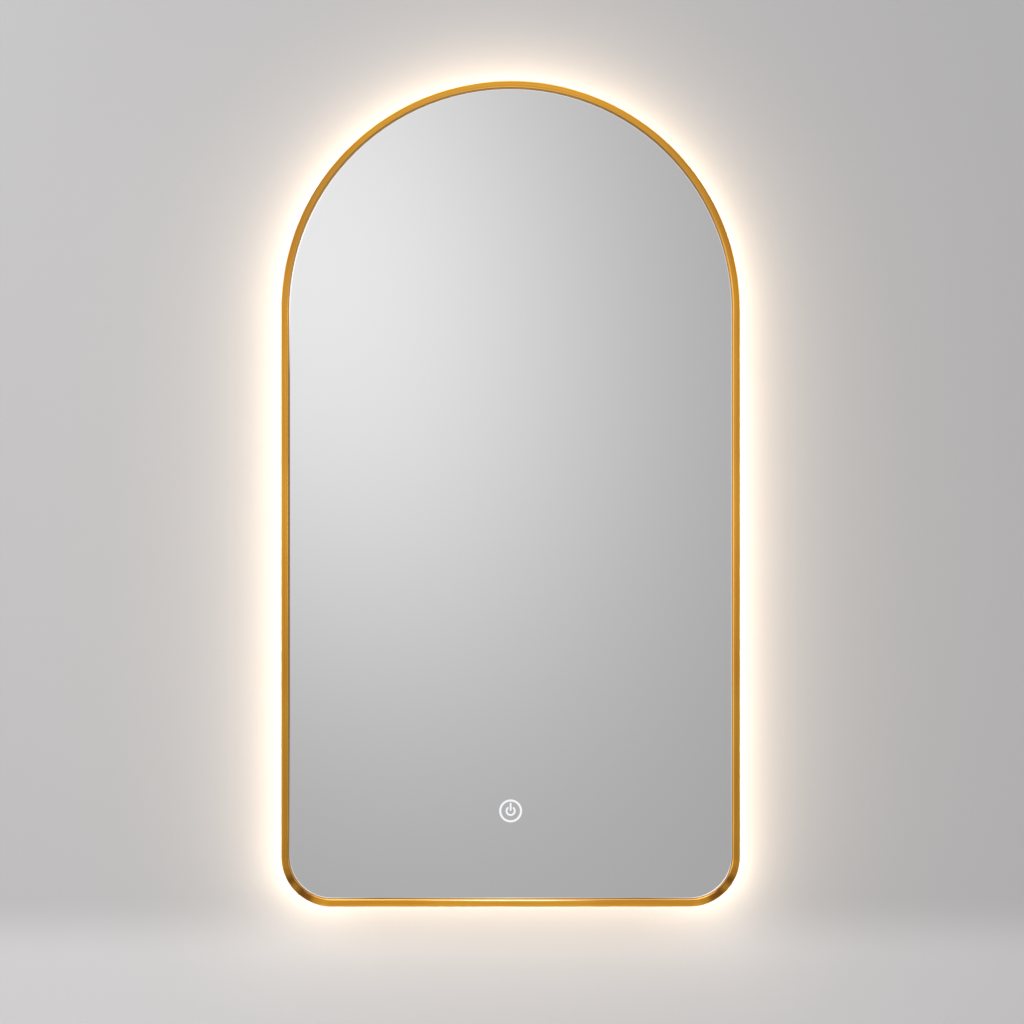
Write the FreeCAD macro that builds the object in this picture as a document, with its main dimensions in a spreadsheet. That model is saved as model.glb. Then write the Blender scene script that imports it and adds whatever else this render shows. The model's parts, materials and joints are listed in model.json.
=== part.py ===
import FreeCAD, Part
import math
import os
import re
from types import SimpleNamespace

import Sketcher
from FreeCAD import Placement, Rotation, Vector

# Lighted bathroom mirror with a semicircular top, 500 x 900 mm, hung on a two-part steel cleat.
#
# Axes: +Z up, +X to the right for someone facing the mirror, +Y into the wall. The wall is the plane y = 0
# and the origin is the middle of the wall bracket's line of screw holes. "Depth" is always the distance in
# front of the wall, so depth = -y. "Inset" is the distance inside the frame's outer edge, face on.
#
# Layers from the wall out: 10 mm gap, back panel, light box, bonding tape, glass, recess, frame front.

SIZES = [
    # Whole mirror
    ("outer_width", 500, "frame, side to side"),
    ("outer_height", 900, "frame, bottom edge to the top of the arch"),
    ("corner_radius", 55, "frame's bottom corners"),
    ("arch_drop", 30, "arch centre below the bracket's holes"),
    # Layers
    ("wall_gap", 10, "wall to back panel"),
    ("panel_thickness", 1.2, "back panel"),
    ("box_depth", 20.8, "light box, panel to tape"),
    ("tape_thickness", 1, "foam bonding tape"),
    ("glass_thickness", 5, "mirror glass"),
    ("frame_proud", 4, "frame front in front of the glass"),
    # Frame: a channel, open to the rear, with a ledge that carries the glass
    ("frame_face", 8, "width of the frame seen from the front"),
    ("frame_depth", 22, "front to rear edge"),
    ("frame_wall", 1.5, "side walls"),
    ("frame_front_wall", 2, "front wall"),
    ("ledge_reach", 6, "ledge beyond the inner wall"),
    ("ledge_thickness", 1.5, "ledge"),
    ("frame_rounding", 1.1, "outer front edge"),
    ("frame_bevel", 1.2, "inner front edge"),
    ("frame_seam", 0.15, "hairline joint of the bent channel, bottom middle"),
    ("splice_length", 80, "bar that joins the channel's ends"),
    ("splice_depth", 6, "bar, front to rear"),
    ("splice_play", 0.05, "bar to the channel's walls, each side"),
    ("splice_screw_inner", 12, "inner pair of grub screws from the joint"),
    ("splice_screw_outer", 30, "outer pair of grub screws from the joint"),
    ("splice_screw_diameter", 3, "grub screws"),
    # Glass
    ("glass_play", 0.4, "glass edge to the frame's inner wall"),
    ("glass_arris", 1, "bevel of the polished front edge"),
    ("frame_tape_margin", 1, "frame's inner wall to the tape"),
    ("frame_tape_width", 4.5, "tape between ledge and glass"),
    # Touch icon, clear lines in the silvering
    ("icon_rise", 104, "icon centre above the bottom edge"),
    ("icon_ring_diameter", 25, "outside of the ring"),
    ("icon_ring_stroke", 2.3, "ring line"),
    ("icon_arc_diameter", 11, "outside of the power symbol's arc"),
    ("icon_stroke", 2, "power symbol's lines"),
    ("icon_opening", 90, "degrees of the arc left open at the top"),
    ("icon_bar_top", 9, "top of the symbol's bar above the centre"),
    ("icon_depth", 0.4, "lines, front to rear"),
    # Light box
    ("box_inset", 41.5, "frame's outer edge to the box wall"),
    ("box_corner", 35, "bottom corners of the box wall"),
    ("box_wall", 1.5, "aluminium sheet"),
    ("box_front_flange", 14, "flange behind the glass"),
    ("box_rear_flange", 12, "flange behind the panel's edge"),
    ("box_tape_margin", 0.5, "box wall to the tape on its flange"),
    ("box_tape_width", 13, "tape between box and glass"),
    # Light band round the box
    ("opal_stand", 3.5, "opal cover's face outside the box wall"),
    ("opal_depth", 11, "opal cover, front to rear"),
    ("opal_wall", 1.2, "opal cover"),
    ("strip_width", 8, "flexible board of the LEDs"),
    ("strip_thickness", 0.4, "flexible board of the LEDs"),
    ("strip_end_gap", 2, "between the strip's two ends"),
    ("strip_end_offset", 14, "strip's ends from the bottom middle"),
    ("chip_length", 3.5, "LED along the strip"),
    ("chip_width", 2.8, "LED across the strip"),
    ("chip_height", 0.8, "LED above the strip"),
    ("chip_pitch", 16.7, "LED to LED, at most"),
    # Ties between frame and box
    ("tie_count", 9, "brackets round the box"),
    ("tie_width", 20, "along the edge"),
    ("tie_thickness", 1.5, "steel"),
    ("tie_grip", 4.5, "overlap behind the frame's ledge"),
    ("tie_drop", 7.5, "leg on the box wall"),
    ("tie_screw_diameter", 2.5, "screws of the ties"),
    ("tie_screw_play", 0.1, "screw to the hole in a tie, each side"),
    ("tie_head_diameter", 4.4, "screw heads of the ties"),
    ("tie_head_height", 1.5, "screw heads of the ties"),
    # Panel screws
    ("panel_screw_count", 12, "screws round the panel"),
    ("screw_diameter", 3, "M3 screws"),
    ("screw_play", 0.1, "M3 screw to its clearance hole, each side"),
    ("head_diameter", 6, "pan heads"),
    ("head_height", 1.8, "pan heads"),
    ("recess_diameter", 2.6, "cross recess in a pan head"),
    ("recess_width", 0.7, "cross recess in a pan head"),
    ("recess_depth", 1, "cross recess in a pan head"),
    ("panel_screw_length", 4, "under the head"),
    # Cleat
    ("steel", 2, "cleat's sheet"),
    ("bend_radius", 1, "inside of the cleat's bends"),
    ("bracket_length", 320, "wall bracket"),
    ("bracket_height", 22, "wall bracket's base"),
    ("bracket_lip", 14, "lip above the bracket's shelf"),
    ("bracket_reach", 4.5, "wall to the rear of the lip"),
    ("bracket_hole_spacing", 280, "outer screw holes"),
    ("bracket_inner_spacing", 120, "inner screw holes"),
    ("bracket_hole_diameter", 5.5, "for 5 mm wall screws"),
    ("hanger_length", 360, "hanger bar"),
    ("hanger_flange", 23, "hanger bar's flange on the panel"),
    ("hook_play", 0.5, "hook to the lip, beyond the bend"),
    ("hook_gap", 2.8, "hook above the bracket's shelf"),
    ("rivet_count", 4, "rivets along the hanger bar"),
    ("rivet_spacing", 100, "rivet to rivet"),
    ("rivet_diameter", 4, "rivets"),
    ("rivet_head_diameter", 8, "rivets"),
    ("rivet_head_height", 1.3, "rivets"),
    ("rivet_tail_diameter", 6, "rivets, inside the panel"),
    ("rivet_tail_height", 1.5, "rivets, inside the panel"),
    # Bumpers
    ("bumper_diameter", 20, "rubber pads on the wall"),
    ("bumper_spacing", 300, "pad to pad"),
    ("bumper_rise", 120, "pads above the frame's bottom edge"),
    ("bumper_bevel", 1.5, "pads, at the wall"),
    # Wiring compartment
    ("wiring_drop", 140, "compartment's middle below the arch centre"),
    ("wiring_width", 140, "tray"),
    ("wiring_height", 62, "tray"),
    ("wiring_depth", 18, "tray, in front of the panel's rear face"),
    ("wiring_wall", 2, "tray"),
    ("wiring_rim", 12, "tray's rim on the panel, beyond its walls"),
    ("rim_screw_level", 22, "rim's screws above and below its middle"),
    ("rim_thickness", 1.5, "tray's rim"),
    ("wiring_play", 0.3, "tray to the opening in the panel, each side"),
    ("rim_rounding", 5, "corners of the tray's rim"),
    ("shelf_width", 32, "fixed part of the tray's cover, for the inlet"),
    ("shelf_thickness", 2.5, "fixed part of the tray's cover"),
    ("inlet_bore", 8, "for the supply cable"),
    ("inlet_neck", 13, "grommet in its hole"),
    ("inlet_flange", 17, "grommet"),
    ("inlet_flange_thickness", 1.5, "grommet"),
    ("cover_thickness", 2, "swinging cover"),
    ("cover_play", 0.5, "cover to what stands beside it"),
    ("cover_overlap", 4, "cover beyond the tray's opening"),
    ("cover_rounding", 3, "cover's corners"),
    ("cover_tab_width", 22, "finger tab"),
    ("cover_tab_reach", 4, "finger tab"),
    ("hinge_rise", 3, "hinge axis above the tray"),
    ("hinge_radius", 2.2, "hinge barrels"),
    ("hinge_knuckle", 10, "length of each end barrel"),
    ("hinge_gap", 0.3, "barrel to the tray's rim"),
    ("pin_diameter", 2, "hinge pin"),
    ("pin_play", 0.05, "pin to the cover's barrel, all round"),
    ("clamp_x", -25, "cord clamp from the tray's middle"),
    ("clamp_width", 9, "cord clamp along the cable"),
    ("clamp_length", 30, "cord clamp across the cable"),
    ("clamp_thickness", 4, "cord clamp"),
    ("saddle_rise", 2, "middle of the clamp's groove in front of its bar"),
    ("clamp_standoff", 7, "posts of the clamp above the tray's floor"),
    ("clamp_post_diameter", 8, "posts of the clamp"),
    ("clamp_screw_spacing", 20, "screws of the clamp"),
    ("clamp_screw_depth", 6, "screws of the clamp, in the posts"),
    # Terminal block
    ("terminal_x", 24, "terminal block from the tray's middle"),
    ("terminal_pitch", 13, "pole to pole"),
    ("terminal_width", 44, "housing"),
    ("terminal_height", 24, "housing"),
    ("terminal_depth", 13, "housing above the tray's floor"),
    ("terminal_entry_diameter", 3.4, "wire entries"),
    ("wire_level", 5, "wires above the tray's floor"),
    ("clamp_block_width", 7, "metal clamp of a pole"),
    ("clamp_block_height", 12, "metal clamp of a pole"),
    ("clamp_block_depth", 5, "metal clamp of a pole"),
    ("button_width", 6.5, "release button"),
    ("button_height", 5, "release button"),
    ("button_length", 5, "release button, front to rear"),
    ("button_proud", 2, "release button outside its housing"),
    ("button_play", 0.08, "button to its pocket, each side"),
    ("button_travel", 1.2, "release button"),
    ("button_bottom_gap", 0.3, "under a pressed button"),
    ("button_edge", 0.6, "bevel round the button's face"),
    # Leads
    ("wire_diameter", 2.4, "single mains wires"),
    ("wire_play", 0.1, "leads to the holes they pass, all round"),
    ("lead_diameter", 3.2, "driver to sensor"),
    ("strip_lead_diameter", 2.6, "sensor to LEDs"),
    ("demister_lead_diameter", 2.4, "driver to demister"),
    ("clip_width", 12, "lead clips"),
    ("clip_height", 8, "lead clips"),
    ("clip_wall", 1.4, "lead clips, over the lead"),
    ("lead_level", 2.8, "middle of the clipped lead above the panel"),
    ("clip_offset", 14, "clips above and below the middle of the clipped run"),
    ("clip_run", 34, "clipped run, each side of its middle"),
    ("driver_run", 16, "sensor lead, straight below the driver"),
    ("sensor_run", 16, "sensor lead, straight above the sensor"),
    ("strip_run_high", 7, "strip lead, straight below the sensor"),
    ("strip_run_low", 10, "strip lead, straight inside the box wall"),
    ("earth_run", 18, "earth lead, straight below the tray"),
    ("tag_run", 12, "earth lead, straight above its tag"),
    ("loop_drop", 42, "demister lead's loop below what it joins"),
    ("loop_side", 20, "demister lead's loop, where its sides end"),
    ("loop_bulge", 2, "demister lead's loop, its slant in depth"),
    # Driver
    ("driver_gap", 30, "tray to driver"),
    ("driver_length", 170, "case"),
    ("driver_width", 48, "case"),
    ("driver_depth", 17, "case and cover"),
    ("driver_wall", 1.5, "case and cover"),
    ("driver_rounding", 3, "case corners"),
    ("driver_ear", 10, "mounting ears"),
    ("driver_ear_width", 14, "mounting ears"),
    ("board_thickness", 1.6, "driver's board"),
    ("board_play", 0.5, "driver's board to its case"),
    ("post_height", 3, "posts under the driver's board"),
    ("post_diameter", 4, "posts under the driver's board"),
    ("post_inset", 8, "posts from the case's ends"),
    ("connector_height", 8, "connectors on the driver's board"),
    ("connector_length", 8, "connectors on the driver's board"),
    ("connector_inset", 6, "connectors from the case's ends"),
    ("connector_margin", 8, "connectors from the case's sides"),
    ("transformer_width", 26, "on the driver's board"),
    ("transformer_length", 28, "on the driver's board"),
    ("transformer_height", 8.5, "on the driver's board"),
    ("capacitor_diameter", 8, "on the driver's board"),
    ("capacitor_length", 20, "on the driver's board"),
    ("capacitor_spacing", 12, "on the driver's board"),
    ("part_offset", 32, "transformer and capacitors from the driver's middle"),
    ("output_offset", 8, "output leads from the driver's middle"),
    # Sensor
    ("sensor_width", 44, "case"),
    ("sensor_height", 40, "case"),
    ("sensor_depth", 8, "case, on the glass"),
    ("sensor_wall", 1.5, "case"),
    ("sensor_rounding", 3, "case corners"),
    ("sensor_board_thickness", 1.2, "board"),
    ("sensor_board_play", 0.5, "board to its case"),
    ("guide_margin", 0.3, "light guide beyond the icon's ring"),
    ("plug_width", 8, "lead connectors"),
    ("plug_length", 3.5, "lead connectors"),
    ("plug_height", 4, "lead connectors"),
    ("plug_inset", 1.5, "lead connectors from the case's inside"),
    # Demister
    ("pad_width", 280, "heating foil"),
    ("pad_height", 420, "heating foil"),
    ("pad_thickness", 0.4, "heating foil"),
    ("pad_rounding", 12, "heating foil's corners"),
    ("pad_drop", 180, "foil's middle below the arch centre"),
    ("pad_block_width", 24, "foil's lead block"),
    ("pad_block_height", 12, "foil's lead block"),
    ("pad_block_depth", 3, "foil's lead block"),
    ("pad_block_x", 55, "foil's lead block from the middle"),
    ("pad_block_inset", 3, "lead block above the foil's lower edge"),
    # Earth
    ("earth_x", 60, "earth screw from the middle"),
    ("earth_drop", 235, "earth screw below the arch centre"),
    ("earth_screw_diameter", 4, "earth screw"),
    ("earth_head_diameter", 7, "earth screw"),
    ("earth_head_height", 2.2, "earth screw"),
    ("earth_tip", 2, "earth screw behind the panel"),
    ("tag_diameter", 9, "ring tag"),
    ("tag_thickness", 0.8, "ring tag"),
    ("tag_barrel", 6, "ring tag's barrel"),
    ("tag_barrel_wall", 0.6, "ring tag's barrel, round the wire"),
]

DERIVED = [
    ("arch_radius", "outer_width / 2"),
    ("straight_height", "outer_height - arch_radius"),
    ("outer_edge", "0"),
    # Depths of the layers
    ("panel_front", "wall_gap + panel_thickness"),
    ("box_front", "panel_front + box_depth"),
    ("glass_back", "box_front + tape_thickness"),
    ("glass_front", "glass_back + glass_thickness"),
    ("frame_front", "glass_front + frame_proud"),
    ("frame_back", "frame_front - frame_depth"),
    ("channel_top", "frame_front - frame_front_wall"),
    ("ledge_back", "box_front - ledge_thickness"),
    # Insets of the frame's and the glass's edges
    ("channel_outer", "frame_wall"),
    ("channel_inner", "frame_face - frame_wall"),
    ("ledge_edge", "frame_face + ledge_reach"),
    ("glass_edge", "frame_face + glass_play"),
    ("frame_tape_edge", "frame_face + frame_tape_margin"),
    ("frame_tape_end", "frame_tape_edge + frame_tape_width"),
    # Insets of the light box, whose corners share the centres of box_corner
    ("box_corner_line", "box_corner + box_inset"),
    ("web_inner", "box_inset + box_wall"),
    ("front_flange_edge", "box_inset + box_front_flange"),
    ("rear_flange_edge", "box_inset + box_rear_flange"),
    ("box_tape_edge", "box_inset + box_tape_margin"),
    ("box_tape_end", "box_tape_edge + box_tape_width"),
    ("front_flange_back", "box_front - box_wall"),
    ("rear_flange_front", "panel_front + box_wall"),
    # Light band
    ("panel_edge", "box_inset - opal_stand"),
    ("opal_inner", "panel_edge + opal_wall"),
    ("opal_front", "panel_front + opal_depth"),
    ("opal_lip_back", "opal_front - opal_wall"),
    ("opal_lip_front", "panel_front + opal_wall"),
    ("strip_outer", "box_inset - strip_thickness"),
    ("strip_middle", "panel_front + opal_depth / 2"),
    ("strip_back", "strip_middle - strip_width / 2"),
    ("strip_front", "strip_middle + strip_width / 2"),
    # Ties
    ("tie_front", "ledge_back"),
    ("tie_back", "tie_front - tie_thickness"),
    ("tie_low", "tie_front - tie_drop"),
    ("tie_start", "ledge_edge - tie_grip"),
    # Cleat
    ("shelf_top", "bracket_height / 2"),
    ("lip_top", "shelf_top + bracket_lip"),
    ("hook_front", "bracket_reach - bend_radius - hook_play"),
    ("hook_back", "hook_front - steel"),
    ("hook_low", "shelf_top + hook_gap"),
    ("hanger_top", "lip_top + steel + hanger_flange"),
    ("rivet_level", "lip_top + steel + hanger_flange / 2"),
    # Wiring compartment
    ("rim_back", "wall_gap - rim_thickness"),
    ("tray_front", "wall_gap + wiring_depth"),
    ("tray_floor", "tray_front - wiring_wall"),
    ("tray_half_width", "wiring_width / 2"),
    ("tray_half_height", "wiring_height / 2"),
    ("opening_half_width", "tray_half_width - wiring_wall"),
    ("opening_half_height", "tray_half_height - wiring_wall"),
    ("shelf_edge", "shelf_width - opening_half_width"),
    ("shelf_front", "rim_back + shelf_thickness"),
    ("inlet_x", "shelf_edge - shelf_width / 2"),
    ("cover_left", "shelf_edge + cover_play"),
    ("cover_right", "opening_half_width + cover_overlap"),
    ("cover_low", "-opening_half_height - cover_overlap"),
    ("cover_back", "rim_back - cover_thickness"),
    ("hinge_level", "tray_half_height + hinge_rise"),
    ("hinge_depth", "rim_back - hinge_gap - hinge_radius"),
    ("clamp_back", "tray_floor - clamp_standoff - clamp_thickness"),
    ("clamp_front", "tray_floor - clamp_standoff"),
    # Terminal block
    ("terminal_back", "tray_floor - terminal_depth"),
    ("wire_depth", "tray_floor - wire_level"),
    ("button_back", "terminal_back - button_proud"),
    ("button_front", "button_back + button_length"),
    ("pocket_front", "button_front + button_travel + button_bottom_gap"),
    ("clamp_block_back", "wire_depth - clamp_block_depth / 2"),
    ("clamp_block_front", "wire_depth + clamp_block_depth / 2"),
    # Driver
    ("driver_x", "terminal_x - terminal_pitch / 2"),
    ("driver_top", "-wiring_drop - tray_half_height - driver_gap"),
    ("driver_z", "driver_top - driver_length / 2"),
    ("driver_half_width", "driver_width / 2"),
    ("driver_half_length", "driver_length / 2"),
    ("driver_front", "panel_front + driver_depth"),
    ("driver_case_front", "driver_front - driver_wall"),
    ("driver_base_front", "panel_front + driver_wall"),
    ("board_back", "driver_base_front + post_height"),
    ("board_front", "board_back + board_thickness"),
    ("connector_end", "driver_half_length - driver_wall - connector_inset"),
    # Sensor
    ("icon_z", "icon_rise - straight_height"),
    ("sensor_back", "glass_back - sensor_depth"),
    ("sensor_floor", "sensor_back + sensor_wall"),
    ("sensor_board_front", "sensor_floor + sensor_board_thickness"),
    ("sensor_half_width", "sensor_width / 2"),
    ("sensor_half_height", "sensor_height / 2"),
    ("plug_end", "sensor_half_height - sensor_wall - plug_inset"),
    ("plug_depth", "sensor_board_front + plug_height / 2"),
    ("clip_x", "(driver_x - output_offset) / 2"),
    ("clip_z", "(driver_z - driver_half_length + icon_z + sensor_half_height) / 2"),
    # Demister
    ("pad_back", "glass_back - pad_thickness"),
    ("pad_block_back", "pad_back - pad_block_depth"),
    ("pad_block_low", "-pad_drop - pad_height / 2 + pad_block_inset"),
    # Earth
    ("tag_front", "panel_front + tag_thickness"),
    ("tag_depth", "panel_front + wire_diameter / 2 + tag_thickness"),
    ("tag_barrel_low", "-earth_drop + tag_diameter / 2"),
    ("tag_barrel_high", "tag_barrel_low + tag_barrel"),
]

doc = FreeCAD.newDocument("lighted_mirror")
SHEET_OF = {row[0]: "sizes." for row in SIZES}
SHEET_OF.update({row[0]: "derived." for row in DERIVED})


# ---------------------------------------------------------------------------------------------------------
# Sheets, expressions and nodes


def linked(expression):
    """The expression with each alias pointed at its sheet."""
    return re.sub(r"[a-z][a-z_]*", lambda word: SHEET_OF.get(word.group(), "") + word.group(), expression)


def bind(item, prop, expression):
    item.setExpression(prop, linked(expression))


def fill_sheet(name, rows):
    sheet = doc.addObject("Spreadsheet::Sheet", name)
    for number, (alias, content, note) in enumerate(rows, start=1):
        sheet.set(f"A{number}", alias)
        sheet.set(f"B{number}", content)
        sheet.setAlias(f"B{number}", alias)
        sheet.set(f"C{number}", note)
    return sheet


def read_sheets():
    sizes = fill_sheet("sizes", [(alias, f"{number:g}", note) for alias, number, note in SIZES])
    derived = fill_sheet("derived", [(alias, "=" + linked(formula), formula) for alias, formula in DERIVED])
    doc.recompute()
    known = {row[0]: float(sizes.get(row[0])) for row in SIZES}
    known.update({row[0]: float(derived.get(row[0])) for row in DERIVED})
    return SimpleNamespace(**known)


dim = read_sheets()
nodes = []

LEVEL = 1e-3  # mm, within which faces and edges lie level with each other
ALIGNED = 0.999  # cosine, from which a straight edge counts as running along an axis
HEAD_ROUNDING = 0.45  # rounding of a pan head's rim, as a share of the head's height
BEND_SHARE = 0.45  # share of a lead's straight run that the bend at its end takes

# Where a piece's own zero lies in the mirror: the x and z of the sub-assembly that it belongs to
HOME = {
    "bracket": ("0", "0"),
    "arch": ("0", "-arch_drop"),
    "wiring": ("0", "-arch_drop - wiring_drop"),
    "driver": ("driver_x", "-arch_drop + driver_z"),
    "sensor": ("0", "-arch_drop + icon_z"),
}


def finish_node(item, label, home="arch"):
    """Names the sub-part, places it in the mirror and lists it for export."""
    item.Label = label
    across, up = HOME[home]
    bind(item, "Placement.Base.x", across)
    bind(item, "Placement.Base.z", up)
    nodes.append(item)
    return item


# ---------------------------------------------------------------------------------------------------------
# Primitives and booleans, given by their planes


def block(name, across, depth, up):
    """A box between two x planes, two depths and two z planes, each a pair of expressions, low one first."""
    item = doc.addObject("Part::Box", name)
    bind(item, "Length", f"({across[1]}) - ({across[0]})")
    bind(item, "Width", f"({depth[1]}) - ({depth[0]})")
    bind(item, "Height", f"({up[1]}) - ({up[0]})")
    bind(item, "Placement.Base.x", across[0])
    bind(item, "Placement.Base.y", f"-({depth[1]})")
    bind(item, "Placement.Base.z", up[0])
    return item


def forward_rod(name, radius, depth, x="0", z="0"):
    """A cylinder that points straight out of the wall, between two depths."""
    item = doc.addObject("Part::Cylinder", name)
    item.Placement = Placement(Vector(), Rotation(Vector(1, 0, 0), 90))
    bind(item, "Radius", radius)
    bind(item, "Height", f"({depth[1]}) - ({depth[0]})")
    bind(item, "Placement.Base.x", x)
    bind(item, "Placement.Base.y", f"-({depth[0]})")
    bind(item, "Placement.Base.z", z)
    return item


def upright_rod(name, radius, up, x, depth):
    """A vertical cylinder between two z planes."""
    item = doc.addObject("Part::Cylinder", name)
    bind(item, "Radius", radius)
    bind(item, "Height", f"({up[1]}) - ({up[0]})")
    bind(item, "Placement.Base.x", x)
    bind(item, "Placement.Base.y", f"-({depth})")
    bind(item, "Placement.Base.z", up[0])
    return item


def level_rod(name, radius, across, depth, z):
    """A cylinder along X between two x planes."""
    item = doc.addObject("Part::Cylinder", name)
    item.Placement = Placement(Vector(), Rotation(Vector(0, 1, 0), 90))
    bind(item, "Radius", radius)
    bind(item, "Height", f"({across[1]}) - ({across[0]})")
    bind(item, "Placement.Base.x", across[0])
    bind(item, "Placement.Base.y", f"-({depth})")
    bind(item, "Placement.Base.z", z)
    return item


def fuse(name, items):
    item = doc.addObject("Part::MultiFuse", name)
    item.Shapes = items
    item.Refine = True
    return item


def group(name, items):
    item = doc.addObject("Part::Compound", name)
    item.Links = items
    return item


def cut(name, base, tools):
    item = doc.addObject("Part::Cut", name)
    item.Base = base
    item.Tool = tools[0] if len(tools) == 1 else group(name + "_tools", tools)
    return item


def formed(name, shapes):
    """Shapes that are worked out along a path, held together as one object."""
    item = doc.addObject("Part::Feature", name)
    item.Shape = shapes[0] if len(shapes) == 1 else Part.Compound(shapes)
    return item


# ---------------------------------------------------------------------------------------------------------
# Bodies made from sketches


def body_sketch(body, name, role, offset):
    """A sketch on one of the body's own planes, moved along that plane's normal."""
    plane = next(item for item in body.Origin.OriginFeatures if item.Role == role)
    sketch = body.newObject("Sketcher::SketchObject", name)
    sketch.AttachmentSupport = [(plane, "")]
    sketch.MapMode = "FlatFace"
    bind(sketch, "AttachmentOffset.Base.z", offset)
    return sketch


def hold(sketch, kind, places, expression):
    """A driving dimension of the sketch, bound to the sheets."""
    index = sketch.addConstraint(Sketcher.Constraint(kind, *places, 1.0))
    bind(sketch, f"Constraints[{index}]", expression)


def add_outline(sketch, inset, corner_line):
    """The mirror's outline `inset` inside the frame's edge, drawn round the arch's centre.

    `corner_line` is the radius that the bottom corners would have at the frame's edge."""
    half = dim.arch_radius - getattr(dim, inset)
    low = dim.straight_height - getattr(dim, inset)
    corner = getattr(dim, corner_line) - getattr(dim, inset)
    side = half - corner
    turn = low - corner
    out = Vector(0, 0, 1)
    quarter = math.pi / 2
    right_corner = Part.Circle(Vector(side, -turn, 0), out, corner)
    left_corner = Part.Circle(Vector(-side, -turn, 0), out, corner)
    first = sketch.GeometryCount
    sketch.addGeometry(
        [
            Part.LineSegment(Vector(-side, -low, 0), Vector(side, -low, 0)),
            Part.ArcOfCircle(right_corner, -quarter, 0),
            Part.LineSegment(Vector(half, -turn, 0), Vector(half, 0, 0)),
            Part.ArcOfCircle(Part.Circle(Vector(), out, half), 0, 2 * quarter),
            Part.LineSegment(Vector(-half, 0, 0), Vector(-half, -turn, 0)),
            Part.ArcOfCircle(left_corner, 2 * quarter, 3 * quarter),
        ]
    )
    bottom, corner_right, right, arch, left, corner_left = range(first, first + 6)
    loop = [bottom, corner_right, right, arch, left, corner_left]
    for before, after in zip(loop, loop[1:] + loop[:1]):
        sketch.addConstraint(Sketcher.Constraint("Tangent", before, 2, after, 1))
    sketch.addConstraint(Sketcher.Constraint("Horizontal", bottom))
    sketch.addConstraint(Sketcher.Constraint("Vertical", right))
    sketch.addConstraint(Sketcher.Constraint("Vertical", left))
    sketch.addConstraint(Sketcher.Constraint("Coincident", arch, 3, -1, 1))
    sketch.addConstraint(Sketcher.Constraint("Equal", corner_right, corner_left))
    for kind, places, number, expression in (
        ("Radius", (corner_right,), corner, f"{corner_line} - {inset}"),
        ("Radius", (arch,), half, f"arch_radius - {inset}"),
        ("DistanceY", (bottom, 1, -1, 1), low, f"straight_height - {inset}"),
    ):
        index = sketch.addConstraint(Sketcher.Constraint(kind, *places, number))
        bind(sketch, f"Constraints[{index}]", expression)


def add_polygon(sketch, corners):
    """A closed polygon whose corners, pairs of expressions, are each held from the sketch's origin."""
    count = len(corners)
    rough = [
        Vector(math.cos(2 * math.pi * step / count), math.sin(2 * math.pi * step / count), 0)
        for step in range(count)
    ]
    for step in range(count):
        sketch.addGeometry(Part.LineSegment(rough[step], rough[(step + 1) % count]))
    for step in range(count):
        sketch.addConstraint(Sketcher.Constraint("Coincident", step, 2, (step + 1) % count, 1))
    for step, (across, up) in enumerate(corners):
        hold(sketch, "DistanceX", (-1, 1, step, 1), across)
        hold(sketch, "DistanceY", (-1, 1, step, 1), up)


def pad(body, name, sketch, length):
    feature = body.newObject("PartDesign::Pad", name)
    feature.Profile = sketch
    bind(feature, "Length", length)
    return feature


def pocket(body, name, sketch, length):
    """Cuts from the sketch back towards the wall."""
    feature = body.newObject("PartDesign::Pocket", name)
    feature.Profile = sketch
    bind(feature, "Length", length)
    return feature


def ring_sketch(body, name, depth, insets, corner_line):
    """A sketch at `depth`: one outline, or the strip between two."""
    sketch = body_sketch(body, name + "_sketch", "XZ_Plane", depth)
    for inset in insets:
        add_outline(sketch, inset, corner_line)
    return sketch


def pad_ring(body, name, depths, insets, corner_line="corner_radius"):
    sketch = ring_sketch(body, name, depths[0], insets, corner_line)
    return pad(body, name, sketch, f"{depths[1]} - {depths[0]}")


def cut_ring(body, name, depths, insets, corner_line="corner_radius"):
    sketch = ring_sketch(body, name, depths[1], insets, corner_line)
    return pocket(body, name, sketch, f"{depths[1]} - {depths[0]}")


def new_body(name):
    return doc.addObject("PartDesign::Body", name)


def edge_names(shape, wanted):
    """Names of the shape's edges that are among `wanted`."""
    return [
        f"Edge{number}"
        for number, edge in enumerate(shape.Edges, start=1)
        if any(edge.isSame(other) for other in wanted)
    ]


def dress(body, kind, name, prop, edges, expression):
    """A fillet or chamfer on the edges that `edges` picks from the body's shape so far."""
    doc.recompute()
    base = body.Tip
    names = edge_names(base.Shape, edges(base.Shape))
    feature = body.newObject("PartDesign::" + kind, name)
    feature.Base = (base, names)
    bind(feature, prop, expression)
    return feature


def front_rim(shape, outer):
    """Edges round the front face: its outer rim, or its inner one."""
    front = min(face.BoundBox.YMin for face in shape.Faces)
    face = next(item for item in shape.Faces if item.BoundBox.YMax < front + LEVEL)
    rims = [wire for wire in face.Wires if wire.isSame(face.OuterWire) == outer]
    return [edge for wire in rims for edge in wire.Edges]


def straight_edges(shape, direction):
    """Straight edges that run along one axis."""
    return [
        edge
        for edge in shape.Edges
        if edge.Curve.TypeId == "Part::GeomLine" and abs(edge.Curve.Direction.dot(direction)) > ALIGNED
    ]


def plate(name, across, depth, up, rounding):
    """A flat plate that faces the front, with four round corners."""
    body = new_body(name)
    sketch = body_sketch(body, name + "_sketch", "XZ_Plane", depth[0])
    corners = [(across[0], up[0]), (across[1], up[0]), (across[1], up[1]), (across[0], up[1])]
    add_polygon(sketch, corners)
    pad(body, name + "_pad", sketch, f"({depth[1]}) - ({depth[0]})")
    dress(body, "Fillet", name + "_corners", "Radius", lambda s: straight_edges(s, Vector(0, 1, 0)), rounding)
    return body


# ---------------------------------------------------------------------------------------------------------
# Places along the outline


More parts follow.
